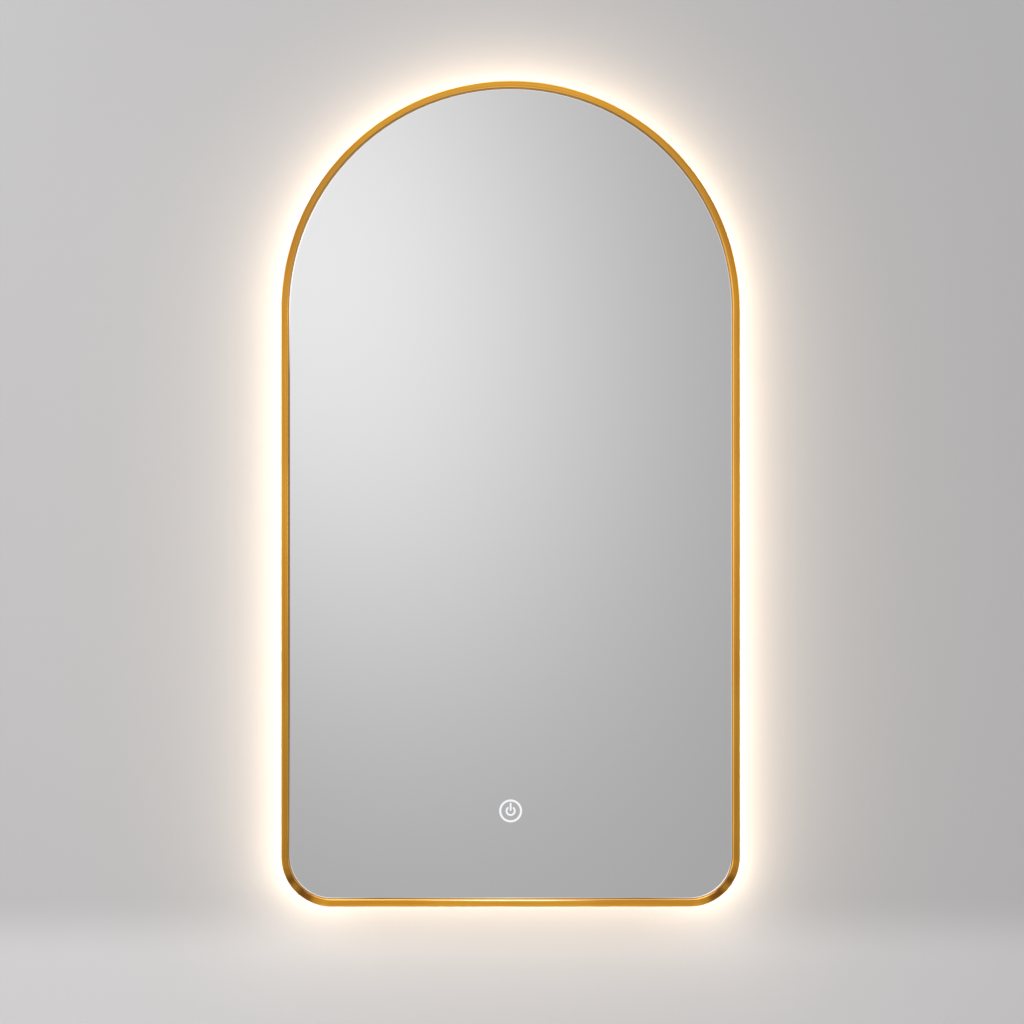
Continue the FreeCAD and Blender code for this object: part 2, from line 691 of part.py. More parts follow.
def outline_place(travel, inset, corner_line):
    """The place `travel` mm along an outline, anticlockwise from the middle of its bottom.

    Local Z points out of the mirror, local X runs along the edge and local Y stays the wall's."""
    half = dim.arch_radius - inset
    low = dim.straight_height - inset
    corner = corner_line - inset
    side = half - corner
    turn = low - corner
    quarter = corner * math.pi / 2
    stretches = [
        (side, Vector(0, 0, -low), Vector(1, 0, 0), -90),
        (quarter, Vector(side, 0, -turn), None, -90),
        (turn, Vector(half, 0, -turn), Vector(0, 0, 1), 0),
        (half * math.pi, Vector(), None, 0),
        (turn, Vector(-half, 0, 0), Vector(0, 0, -1), 180),
        (quarter, Vector(-side, 0, -turn), None, 180),
        (side, Vector(-side, 0, -low), Vector(1, 0, 0), 270),
    ]
    for length, start, along, facing in stretches[:-1]:
        if travel <= length:
            break
        travel -= length
    else:
        length, start, along, facing = stretches[-1]
    if along is None:
        radius = half if length == half * math.pi else corner
        facing += math.degrees(travel / radius)
        point = start + radius * Vector(math.cos(math.radians(facing)), 0, math.sin(math.radians(facing)))
    else:
        point = start + travel * along
    return Placement(point, Rotation(Vector(0, 1, 0), 90 - facing))


def outline_length(inset, corner_line):
    half = dim.arch_radius - inset
    corner = corner_line - inset
    return 2 * (half - corner) + 2 * (dim.straight_height - inset - corner) + math.pi * (half + corner)


def spaced_places(count, inset):
    """Places evenly round the light box, none of them at the middle of the bottom."""
    length = outline_length(inset, dim.box_corner_line)
    return [
        outline_place((step + 0.5) * length / count, inset, dim.box_corner_line) for step in range(count)
    ]


def copies(shape, places):
    placed = []
    for place in places:
        one = shape.copy()
        one.Placement = place
        placed.append(one)
    return placed


def pan_screw(diameter, head_diameter, head_height, length):
    """A screw with its seat at the origin, driven towards +Z, with a cross recess in its head."""
    head = Part.makeCylinder(head_diameter / 2, head_height, Vector(0, 0, -head_height))
    rim = [edge for edge in head.Edges if edge.Closed and edge.BoundBox.ZMax < -head_height + LEVEL]
    head = head.makeFillet(HEAD_ROUNDING * head_height, rim)
    screw = head.fuse(Part.makeCylinder(diameter / 2, length)).removeSplitter()
    arm = dim.recess_diameter / 2
    half = dim.recess_width / 2
    for lengthwise, crosswise in ((arm, half), (half, arm)):
        corner = Vector(-lengthwise, -crosswise, -head_height)
        screw = screw.cut(Part.makeBox(2 * lengthwise, 2 * crosswise, dim.recess_depth, corner))
    return screw


def facing(x, depth, z, direction):
    """A place whose local Z points along `direction`."""
    return Placement(Vector(x, -depth, z), Rotation(Vector(0, 0, 1), direction))


TO_FRONT = Vector(0, -1, 0)


# ---------------------------------------------------------------------------------------------------------
# Glass and frame


def make_icon_marks():
    """Ring, open arc and bar of the touch icon, sunk into the glass's front face."""
    depth = ("glass_front - icon_depth", "glass_front")
    ring = cut(
        "icon_ring",
        forward_rod("icon_ring_outside", "icon_ring_diameter / 2", depth, z="icon_z"),
        [forward_rod("icon_ring_inside", "icon_ring_diameter / 2 - icon_ring_stroke", depth, z="icon_z")],
    )
    start = Rotation(Vector(1, 0, 0), 90) * Rotation(Vector(0, 0, 1), 90 + dim.icon_opening / 2)
    rims = []
    outside = "icon_arc_diameter / 2"
    for name, radius in (("outside", outside), ("inside", outside + " - icon_stroke")):
        rim = forward_rod("icon_arc_" + name, radius, depth, z="icon_z")
        rim.Placement = Placement(rim.Placement.Base, start)
        bind(rim, "Angle", "360 - icon_opening")
        rims.append(rim)
    arc = cut("icon_arc", rims[0], [rims[1]])
    middle = "(icon_arc_diameter / 2 - icon_stroke / 2)"
    ends = [
        forward_rod(
            f"icon_arc_end_{side}",
            "icon_stroke / 2",
            depth,
            f"{sign}{middle} * sin(icon_opening / 2)",
            f"icon_z + {middle} * cos(icon_opening / 2)",
        )
        for side, sign in (("right", ""), ("left", "-"))
    ]
    bar = [
        block(
            "icon_bar_middle",
            ("-icon_stroke / 2", "icon_stroke / 2"),
            depth,
            ("icon_z + icon_stroke / 2", "icon_z + icon_bar_top - icon_stroke / 2"),
        ),
        forward_rod("icon_bar_foot", "icon_stroke / 2", depth, z="icon_z + icon_stroke / 2"),
        forward_rod("icon_bar_head", "icon_stroke / 2", depth, z="icon_z + icon_bar_top - icon_stroke / 2"),
    ]
    return group("icon_marks", [ring, fuse("icon_open_arc", [arc] + ends), fuse("icon_bar", bar)])


def make_glass():
    body = new_body("glass_plate")
    pad_ring(body, "plate", ("glass_back", "glass_front"), ("glass_edge",))
    dress(body, "Chamfer", "arris", "Size", lambda s: front_rim(s, True), "glass_arris")
    marks = make_icon_marks()
    finish_node(cut("glass_with_icon", body, [marks]), "mirror_glass")
    finish_node(group("icon_inlays", [marks]), "touch_icon")


def tie_screw_places():
    """Seats of the ties' screws: those into the frame's ledge, then those into the box wall."""
    into_ledge = []
    into_web = []
    ledge_seat = Placement(
        Vector(0, -dim.tie_back, dim.box_inset - dim.tie_start - dim.tie_grip / 2),
        Rotation(Vector(1, 0, 0), 90),
    )
    web_seat = Placement(
        Vector(0, -(dim.tie_low + dim.tie_back) / 2, dim.tie_thickness), Rotation(Vector(1, 0, 0), 180)
    )
    for place in spaced_places(int(dim.tie_count), dim.box_inset):
        into_ledge.append(place * ledge_seat)
        into_web.append(place * web_seat)
    return into_ledge, into_web


def tie_screw_holes(play):
    """Holes for both kinds of tie screw, with `play` all round."""
    into_ledge, into_web = tie_screw_places()
    radius = dim.tie_screw_diameter / 2 + play
    return (
        copies(Part.makeCylinder(radius, dim.tie_thickness + dim.ledge_thickness), into_ledge),
        copies(Part.makeCylinder(radius, dim.tie_thickness + dim.box_wall), into_web),
    )


def make_frame():
    body = new_body("channel")
    pad_ring(body, "bar", ("frame_back", "frame_front"), ("outer_edge", "ledge_edge"))
    cut_ring(body, "glass_recess", ("box_front", "frame_front"), ("frame_face", "ledge_edge"))
    cut_ring(body, "hollow", ("frame_back", "channel_top"), ("channel_outer", "channel_inner"))
    cut_ring(body, "under_ledge", ("frame_back", "ledge_back"), ("frame_face", "ledge_edge"))
    dress(body, "Fillet", "rounding", "Radius", lambda s: front_rim(s, True), "frame_rounding")
    dress(body, "Chamfer", "bevel", "Size", lambda s: front_rim(s, False), "frame_bevel")
    seam = block(
        "seam",
        ("-frame_seam / 2", "frame_seam / 2"),
        ("frame_back", "frame_front"),
        ("-straight_height", "-straight_height + ledge_edge"),
    )
    holes = formed("ledge_holes", tie_screw_holes(0)[0])
    finish_node(cut("channel_with_holes", body, [seam, holes]), "frame_channel")


def make_splice():
    """A threaded bar in the channel across its joint, with four grub screws."""
    bar = block(
        "splice_blank",
        ("-splice_length / 2", "splice_length / 2"),
        ("channel_top - splice_depth", "channel_top"),
        ("-straight_height + channel_outer + splice_play", "-straight_height + channel_inner - splice_play"),
    )
    level = "-straight_height + frame_face / 2"
    depth = ("channel_top - splice_depth", "channel_top")
    screws = [
        forward_rod(f"grub_{side}_{size}", "splice_screw_diameter / 2", depth, f"{sign}{size}", level)
        for side, sign in (("right", ""), ("left", "-"))
        for size in ("splice_screw_inner", "splice_screw_outer")
    ]
    finish_node(cut("splice_drilled", bar, screws), "frame_splice_bar")
    finish_node(group("grub_screws", screws), "splice_screws")


def make_tapes():
    body = new_body("ledge_tape")
    pad_ring(body, "ledge_strip", ("box_front", "glass_back"), ("frame_tape_edge", "frame_tape_end"))
    finish_node(body, "frame_tape")
    body = new_body("flange_tape")
    insets = ("box_tape_edge", "box_tape_end")
    pad_ring(body, "flange_strip", ("box_front", "glass_back"), insets, "box_corner_line")
    finish_node(body, "box_tape")


# ---------------------------------------------------------------------------------------------------------
# Light box and its band of light


def panel_screw_places():
    middle = dim.box_inset + dim.box_rear_flange / 2
    seat = Placement(Vector(0, -dim.wall_gap, 0), Rotation(Vector(1, 0, 0), 90))
    return [place * seat for place in spaced_places(int(dim.panel_screw_count), middle)]


def make_box_band():
    """A channel bent round the box, its flanges turned inward behind the glass and behind the panel."""
    body = new_body("band")
    line = "box_corner_line"
    pad_ring(body, "web", ("panel_front", "box_front"), ("box_inset", "web_inner"), line)
    front = ("front_flange_back", "box_front")
    rear = ("panel_front", "rear_flange_front")
    pad_ring(body, "front_flange", front, ("box_inset", "front_flange_edge"), line)
    pad_ring(body, "rear_flange", rear, ("box_inset", "rear_flange_edge"), line)
    thread = Part.makeCylinder(dim.screw_diameter / 2, dim.panel_screw_length)
    threads = copies(thread, panel_screw_places())
    holes = formed("band_holes", tie_screw_holes(0)[1] + threads)
    lead_hole = upright_rod(
        "strip_lead_hole",
        "strip_lead_diameter / 2 + wire_play",
        ("-straight_height + box_inset", "-straight_height + web_inner"),
        "0",
        "strip_middle",
    )
    finish_node(cut("band_with_holes", body, [holes, lead_hole]), "box_band")


def make_opal_cover():
    """A U-shaped strip of opal plastic, open towards the box wall."""
    body = new_body("opal")
    line = "box_corner_line"
    pad_ring(body, "face", ("panel_front", "opal_front"), ("panel_edge", "opal_inner"), line)
    pad_ring(body, "front_lip", ("opal_lip_back", "opal_front"), ("panel_edge", "box_inset"), line)
    pad_ring(body, "rear_lip", ("panel_front", "opal_lip_front"), ("panel_edge", "box_inset"), line)
    finish_node(body, "opal_cover")


def make_led_strip():
    body = new_body("strip")
    pad_ring(body, "loop", ("strip_back", "strip_front"), ("strip_outer", "box_inset"), "box_corner_line")
    gap = block(
        "strip_gap",
        ("strip_end_offset", "strip_end_offset + strip_end_gap"),
        ("strip_back", "strip_front"),
        ("-straight_height + strip_outer", "-straight_height + box_inset"),
    )
    finish_node(cut("open_strip", body, [gap]), "led_strip")
    length = outline_length(dim.strip_outer, dim.box_corner_line)
    count = math.ceil(length / dim.chip_pitch)
    chip = Part.makeBox(
        dim.chip_length,
        dim.chip_width,
        dim.chip_height,
        Vector(-dim.chip_length / 2, -dim.strip_middle - dim.chip_width / 2, 0),
    )
    places = spaced_places(count, dim.strip_outer)
    finish_node(formed("chips", copies(chip, places)), "led_chips")


def make_ties():
    """Angle brackets that tie the frame's ledge to the box wall, and their screws."""
    half = dim.tie_width / 2
    reach = dim.box_inset - dim.tie_start
    top = Part.makeBox(dim.tie_width, dim.tie_thickness, reach, Vector(-half, -dim.tie_front, 0))
    leg = Part.makeBox(dim.tie_width, dim.tie_drop, dim.tie_thickness, Vector(-half, -dim.tie_front, 0))
    angle = top.fuse(leg).removeSplitter()
    bent = formed("angles", copies(angle, spaced_places(int(dim.tie_count), dim.box_inset)))
    ledge_holes, web_holes = tie_screw_holes(dim.tie_screw_play)
    finish_node(cut("ties", bent, [formed("tie_holes", ledge_holes + web_holes)]), "tie_brackets")
    into_ledge, into_web = tie_screw_places()
    sizes = (dim.tie_screw_diameter, dim.tie_head_diameter, dim.tie_head_height)
    long_screw = pan_screw(*sizes, dim.tie_thickness + dim.ledge_thickness)
    short_screw = pan_screw(*sizes, dim.tie_thickness + dim.box_wall)
    screws = copies(long_screw, into_ledge) + copies(short_screw, into_web)
    finish_node(formed("tie_screw_set", screws), "tie_screws")


# ---------------------------------------------------------------------------------------------------------
# Back panel and hanging


def driver_screw_places():
    """Seats on the panel's rear of the two screws into the driver's ears."""
    middle = dim.driver_half_length + dim.driver_ear / 2
    return [facing(dim.driver_x, dim.wall_gap, dim.driver_z + end * middle, TO_FRONT) for end in (-1, 1)]


def rim_screw_places():
    """Seats on the tray's rim of its four screws, half way between the cover's side and the rim's edge."""
    across = (dim.cover_right + dim.tray_half_width + dim.wiring_rim) / 2
    up = dim.rim_screw_level
    return [facing(x, dim.rim_back, z, TO_FRONT) for x in (-across, across) for z in (-up, up)]


def make_back_panel():
    body = new_body("panel_sheet")
    pad_ring(body, "sheet", ("wall_gap", "panel_front"), ("panel_edge",), "box_corner_line")
    depth = ("wall_gap", "panel_front")
    opening = block(
        "tray_opening",
        ("-tray_half_width - wiring_play", "tray_half_width + wiring_play"),
        depth,
        ("-wiring_drop - tray_half_height - wiring_play", "-wiring_drop + tray_half_height + wiring_play"),
    )
    level = "rivet_level + arch_drop"
    rivets = [
        forward_rod(f"rivet_hole_{number}", "rivet_diameter / 2", depth, rivet_x(number), level)
        for number in range(int(dim.rivet_count))
    ]
    earth = forward_rod("earth_hole", "earth_screw_diameter / 2", depth, "earth_x", "-earth_drop")
    loose = Part.makeCylinder(dim.screw_diameter / 2 + dim.screw_play, dim.panel_thickness)
    tight = Part.makeCylinder(dim.screw_diameter / 2, dim.panel_thickness)
    rim_holes = [
        facing(place.Base.x, dim.wall_gap, place.Base.z - dim.wiring_drop, TO_FRONT)
        for place in rim_screw_places()
    ]
    holes = copies(loose, panel_screw_places() + driver_screw_places()) + copies(tight, rim_holes)
    tools = [opening, earth, formed("panel_holes", holes)] + rivets
    finish_node(cut("panel_with_holes", body, tools), "back_panel")
    screw = pan_screw(dim.screw_diameter, dim.head_diameter, dim.head_height, dim.panel_screw_length)
    finish_node(formed("panel_screw_set", copies(screw, panel_screw_places())), "panel_screws")


def bent_bar(name, profile, length, inside, outside):
    """A bar of bent sheet: its section in the Y-Z plane, then the inner and outer radii of its bends."""
    body = new_body(name)
    sketch = body_sketch(body, name + "_section", "YZ_Plane", f"-{length} / 2")
    add_polygon(sketch, profile)
    pad(body, name + "_bar", sketch, length)

    def bends(places):
        """Edges along X nearest to the given depths and levels."""

        def pick(shape):
            edges = straight_edges(shape, Vector(1, 0, 0))
            spots = [Vector(0, -depth, level) for depth, level in places]
            return [min(edges, key=lambda edge: (edge.CenterOfMass - spot).Length) for spot in spots]

        return pick

    dress(body, "Fillet", name + "_inside_bends", "Radius", bends(inside), "bend_radius")
    dress(body, "Fillet", name + "_outside_bends", "Radius", bends(outside), "bend_radius + steel")
    return body


def make_wall_bracket():
    """The cleat's fixed half: a base with screw holes, a shelf, and a lip that stands off the wall."""
    profile = [
        ("0", "-bracket_height / 2"),
        ("0", "shelf_top"),
        ("-bracket_reach", "shelf_top"),
        ("-bracket_reach", "lip_top"),
        ("-bracket_reach - steel", "lip_top"),
        ("-bracket_reach - steel", "shelf_top - steel"),
        ("-steel", "shelf_top - steel"),
        ("-steel", "-bracket_height / 2"),
    ]
    inside = [(dim.bracket_reach, dim.shelf_top), (dim.steel, dim.shelf_top - dim.steel)]
    outside = [(0, dim.shelf_top), (dim.bracket_reach + dim.steel, dim.shelf_top - dim.steel)]
    body = bent_bar("wall_rail", profile, "bracket_length", inside, outside)
    radius = "bracket_hole_diameter / 2"
    holes = [
        forward_rod(f"wall_hole_{row}_{side}", radius, ("0", "steel"), f"{sign}{spacing} / 2")
        for row, spacing in (("outer", "bracket_hole_spacing"), ("inner", "bracket_inner_spacing"))
        for side, sign in (("right", ""), ("left", "-"))
    ]
    finish_node(cut("wall_rail_drilled", body, holes), "wall_bracket", "bracket")


def rivet_x(number):
    return f"({number} - (rivet_count - 1) / 2) * rivet_spacing"


def make_hanger_bar():
    """The cleat's moving half: a hook behind the bracket's lip and a flange riveted to the panel."""
    profile = [
        ("-hook_back", "hook_low"),
        ("-hook_back", "lip_top + steel"),
        ("-wall_gap + steel", "lip_top + steel"),
        ("-wall_gap + steel", "hanger_top"),
        ("-wall_gap", "hanger_top"),
        ("-wall_gap", "lip_top"),
        ("-hook_front", "lip_top"),
        ("-hook_front", "hook_low"),
    ]
    inside = [(dim.wall_gap - dim.steel, dim.lip_top + dim.steel), (dim.hook_front, dim.lip_top)]
    outside = [(dim.hook_back, dim.lip_top + dim.steel), (dim.wall_gap, dim.lip_top)]
    body = bent_bar("hanger_rail", profile, "hanger_length", inside, outside)
    flange = ("wall_gap - steel", "wall_gap")
    holes = []
    rivets = []
    for number in range(int(dim.rivet_count)):
        x = rivet_x(number)
        holes.append(forward_rod(f"hanger_hole_{number}", "rivet_diameter / 2", flange, x, "rivet_level"))
        pieces = [
            ("head", "rivet_head_diameter / 2", ("wall_gap - steel - rivet_head_height", "wall_gap - steel")),
            ("shank", "rivet_diameter / 2", ("wall_gap - steel", "panel_front")),
            ("tail", "rivet_tail_diameter / 2", ("panel_front", "panel_front + rivet_tail_height")),
        ]
        rods = [
            forward_rod(f"rivet_{name}_{number}", radius, depth, x, "rivet_level")
            for name, radius, depth in pieces
        ]
        rivets.append(fuse(f"rivet_{number}", rods))
    finish_node(cut("hanger_rail_drilled", body, holes), "hanger_bar", "bracket")
    finish_node(group("rivets", rivets), "hanger_rivets", "bracket")


def make_bumpers():
    """Rubber pads that keep the mirror's lower part off the wall, bevelled where they meet it."""
    pads = []
    level = "-straight_height + bumper_rise"
    for side, sign in (("right", ""), ("left", "-")):
        x = f"{sign}bumper_spacing / 2"
        rod = forward_rod("bumper_rod_" + side, "bumper_diameter / 2", ("bumper_bevel", "wall_gap"), x, level)
        tip = doc.addObject("Part::Cone", "bumper_tip_" + side)
        tip.Placement = Placement(Vector(), Rotation(Vector(1, 0, 0), 90))
        bind(tip, "Radius1", "bumper_diameter / 2 - bumper_bevel")
        bind(tip, "Radius2", "bumper_diameter / 2")
        bind(tip, "Height", "bumper_bevel")
        bind(tip, "Placement.Base.x", x)
        bind(tip, "Placement.Base.z", level)
        pads.append(fuse("bumper_" + side, [rod, tip]))
    finish_node(group("bumpers", pads), "wall_bumpers")


# ---------------------------------------------------------------------------------------------------------
# Wiring compartment, drawn round its own middle


def pole_x(pole):
    return f"terminal_x + ({pole} - 1) * terminal_pitch"


def clamp_post_levels():
    return ("clamp_screw_spacing / 2", "-clamp_screw_spacing / 2")


def make_wiring_box():
    """A plastic tray sunk through the panel: rim, walls, the fixed shelf, hinge barrels and clamp posts."""
    tray = block(
        "tray_outside",
        ("-tray_half_width", "tray_half_width"),
        ("rim_back", "tray_front"),
        ("-tray_half_height", "tray_half_height"),
    )
    rim = plate(
        "tray_rim",
        ("-tray_half_width - wiring_rim", "tray_half_width + wiring_rim"),
        ("rim_back", "wall_gap"),
        ("-tray_half_height - wiring_rim", "tray_half_height + wiring_rim"),
        "rim_rounding",
    )
    hollow = block(
        "tray_inside",
        ("-opening_half_width", "opening_half_width"),
        ("rim_back", "tray_floor"),
        ("-opening_half_height", "opening_half_height"),
    )
    shell = cut("tray_shell", fuse("tray_blank", [tray, rim]), [hollow])
    shelf = block(
        "tray_shelf",
        ("-opening_half_width", "shelf_edge"),
        ("rim_back", "shelf_front"),
        ("-opening_half_height", "opening_half_height"),
    )
    knuckles = [("cover_left", "cover_left + hinge_knuckle"), ("cover_right - hinge_knuckle", "cover_right")]
    added = [shelf]
    bores = []
    for number, span in enumerate(knuckles):
        added.append(level_rod(f"box_barrel_{number}", "hinge_radius", span, "hinge_depth", "hinge_level"))
        added.append(
            block(
                f"barrel_foot_{number}",
                span,
                ("hinge_depth", "rim_back"),
                ("hinge_level - hinge_radius", "hinge_level + hinge_radius"),
            )
        )
        bores.append(level_rod(f"box_bore_{number}", "pin_diameter / 2", span, "hinge_depth", "hinge_level"))
    for number, level in enumerate(clamp_post_levels()):
        depth = ("clamp_front", "tray_floor")
        added.append(forward_rod(f"clamp_post_{number}", "clamp_post_diameter / 2", depth, "clamp_x", level))
        depth = ("clamp_front", "clamp_front + clamp_screw_depth")
        bores.append(forward_rod(f"post_bore_{number}", "screw_diameter / 2", depth, "clamp_x", level))
    bores.append(forward_rod("inlet_hole", "inlet_neck / 2", ("rim_back", "shelf_front"), "inlet_x"))
    for pole in range(3):
        walls = ("-tray_half_height", "-opening_half_height")
        radius = "wire_diameter / 2 + wire_play"
        bores.append(upright_rod(f"tray_wire_hole_{pole}", radius, walls, pole_x(pole), "wire_depth"))
    rim_hole = Part.makeCylinder(dim.screw_diameter / 2 + dim.screw_play, dim.rim_thickness)
    bores.append(formed("rim_holes", copies(rim_hole, rim_screw_places())))
    finish_node(cut("tray", fuse("tray_solid", [shell] + added), bores), "wiring_box", "wiring")
    screw = pan_screw(dim.screw_diameter, dim.head_diameter, dim.head_height, dim.panel_screw_length)
    finish_node(formed("rim_screws", copies(screw, rim_screw_places())), "wiring_box_screws", "wiring")


def make_wiring_cover():
    """The swinging cover: a plate on the tray's rim, a barrel between the tray's two, and a finger tab."""
    play = "cover_play"
    sheet = plate(
        "cover_plate",
        ("cover_left", "cover_right"),
        ("cover_back", "rim_back"),
        ("cover_low", f"hinge_level - hinge_radius - {play}"),
        "cover_rounding",
    )
    middle = (f"cover_left + hinge_knuckle + {play}", f"cover_right - hinge_knuckle - {play}")
    up = ("-cover_rounding", "hinge_level")
    strip = block("cover_strip", middle, ("cover_back", "rim_back"), up)
    barrel = level_rod("cover_barrel", "hinge_radius", middle, "hinge_depth", "hinge_level")
    centre = "(cover_left + cover_right) / 2"
    tab = block(
        "cover_tab",
        (f"{centre} - cover_tab_width / 2", f"{centre} + cover_tab_width / 2"),
        ("cover_back", "rim_back"),
        ("cover_low - cover_tab_reach", "cover_low + cover_rounding"),
    )
    bore = level_rod("cover_bore", "pin_diameter / 2 + pin_play", middle, "hinge_depth", "hinge_level")
    solid = fuse("cover_solid", [sheet, strip, barrel, tab])
    finish_node(cut("cover", solid, [bore]), "wiring_cover", "wiring")
    span = ("cover_left", "cover_right")
    pin = level_rod("pin_rod", "pin_diameter / 2", span, "hinge_depth", "hinge_level")
    finish_node(group("pin", [pin]), "cover_hinge_pin", "wiring")


def make_inlet():
    """A rubber grommet in the shelf for the supply cable, and the clamp that holds the cable inside."""
    flange = "inlet_flange / 2"
    through = ("rim_back - inlet_flange_thickness", "shelf_front + inlet_flange_thickness")
    rods = [
        forward_rod("grommet_neck", "inlet_neck / 2", ("rim_back", "shelf_front"), "inlet_x"),
        forward_rod("grommet_rear", flange, (through[0], "rim_back"), "inlet_x"),
        forward_rod("grommet_front", flange, ("shelf_front", through[1]), "inlet_x"),
    ]
    bore = forward_rod("grommet_bore", "inlet_bore / 2", through, "inlet_x")
    finish_node(cut("grommet", fuse("grommet_solid", rods), [bore]), "inlet_grommet", "wiring")

    span = ("clamp_x - clamp_width / 2", "clamp_x + clamp_width / 2")
    depth = ("clamp_back", "clamp_front")
    bar = block("clamp_blank", span, depth, ("-clamp_length / 2", "clamp_length / 2"))
    saddle = level_rod("clamp_saddle", "inlet_bore / 2", span, "clamp_front + saddle_rise", "0")
    radius = "screw_diameter / 2 + screw_play"
    holes = [
        forward_rod(f"clamp_hole_{number}", radius, depth, "clamp_x", level)
        for number, level in enumerate(clamp_post_levels())
    ]
    finish_node(cut("clamp", bar, [saddle] + holes), "cord_clamp", "wiring")
    screw = pan_screw(
        dim.screw_diameter, dim.head_diameter, dim.head_height, dim.clamp_thickness + dim.clamp_screw_depth
    )
    seats = [
        facing(dim.clamp_x, dim.clamp_back, side * dim.clamp_screw_spacing / 2, TO_FRONT) for side in (1, -1)
    ]
    finish_node(formed("clamp_screw_set", copies(screw, seats)), "cord_clamp_screws", "wiring")


def make_terminals():
    """A three-pole terminal block: housing, metal clamps and one push-to-release button for each pole."""
    housing = block(
        "terminal_blank",
        ("terminal_x - terminal_width / 2", "terminal_x + terminal_width / 2"),
        ("terminal_back", "tray_floor"),
        ("-terminal_height / 2", "terminal_height / 2"),
    )
    cavities = []
    clamps = []
    for pole, button_name in enumerate(("live_button", "neutral_button", "earth_button")):
        x = pole_x(pole)
        clamp_span = (f"{x} - clamp_block_width / 2", f"{x} + clamp_block_width / 2")
        clamp_up = ("-clamp_block_height / 2", "clamp_block_height / 2")
        pocket_span = (f"{x} - button_width / 2 - button_play", f"{x} + button_width / 2 + button_play")
        pocket_up = ("-button_height / 2 - button_play", "button_height / 2 + button_play")
        cavities += [
            block(f"clamp_seat_{pole}", clamp_span, ("clamp_block_back", "tray_floor"), clamp_up),
            block(f"button_pocket_{pole}", pocket_span, ("terminal_back", "pocket_front"), pocket_up),
            upright_rod(
                f"entry_low_{pole}",
                "terminal_entry_diameter / 2",
                ("-terminal_height / 2", "-clamp_block_height / 2"),
                x,
                "wire_depth",
            ),
            upright_rod(
                f"entry_high_{pole}",
                "terminal_entry_diameter / 2",
                ("clamp_block_height / 2", "terminal_height / 2"),
                x,
                "wire_depth",
            ),
        ]
        blank = block(f"clamp_blank_{pole}", clamp_span, ("clamp_block_back", "clamp_block_front"), clamp_up)
        bore = upright_rod(f"clamp_bore_{pole}", "wire_diameter / 2", clamp_up, x, "wire_depth")
        clamps.append(cut(f"pole_clamp_{pole}", blank, [bore]))
        make_button(button_name, x)
    finish_node(cut("terminal_housing", housing, cavities), "terminal_block", "wiring")
    finish_node(group("pole_clamps", clamps), "terminal_clamps", "wiring")


def make_button(label, x):
    body = new_body(label + "_body")
    sketch = body_sketch(body, label + "_sketch", "XZ_Plane", "button_back")
    sides = (f"{x} - button_width / 2", f"{x} + button_width / 2")
    ends = ("-button_height / 2", "button_height / 2")
    add_polygon(sketch, [(sides[0], ends[0]), (sides[1], ends[0]), (sides[1], ends[1]), (sides[0], ends[1])])
    pad(body, label + "_pad", sketch, "button_length")

    def rear_edges(shape):
        """The edges of the face that is pushed."""
        rear = max(face.BoundBox.YMax for face in shape.Faces)
        face = next(item for item in shape.Faces if item.BoundBox.YMin > rear - LEVEL)
        return face.Edges

    dress(body, "Chamfer", label + "_edge", "Size", rear_edges, "button_edge")
    finish_node(body, label, "wiring")


# ---------------------------------------------------------------------------------------------------------
# Driver and touch sensor, each drawn round its own middle


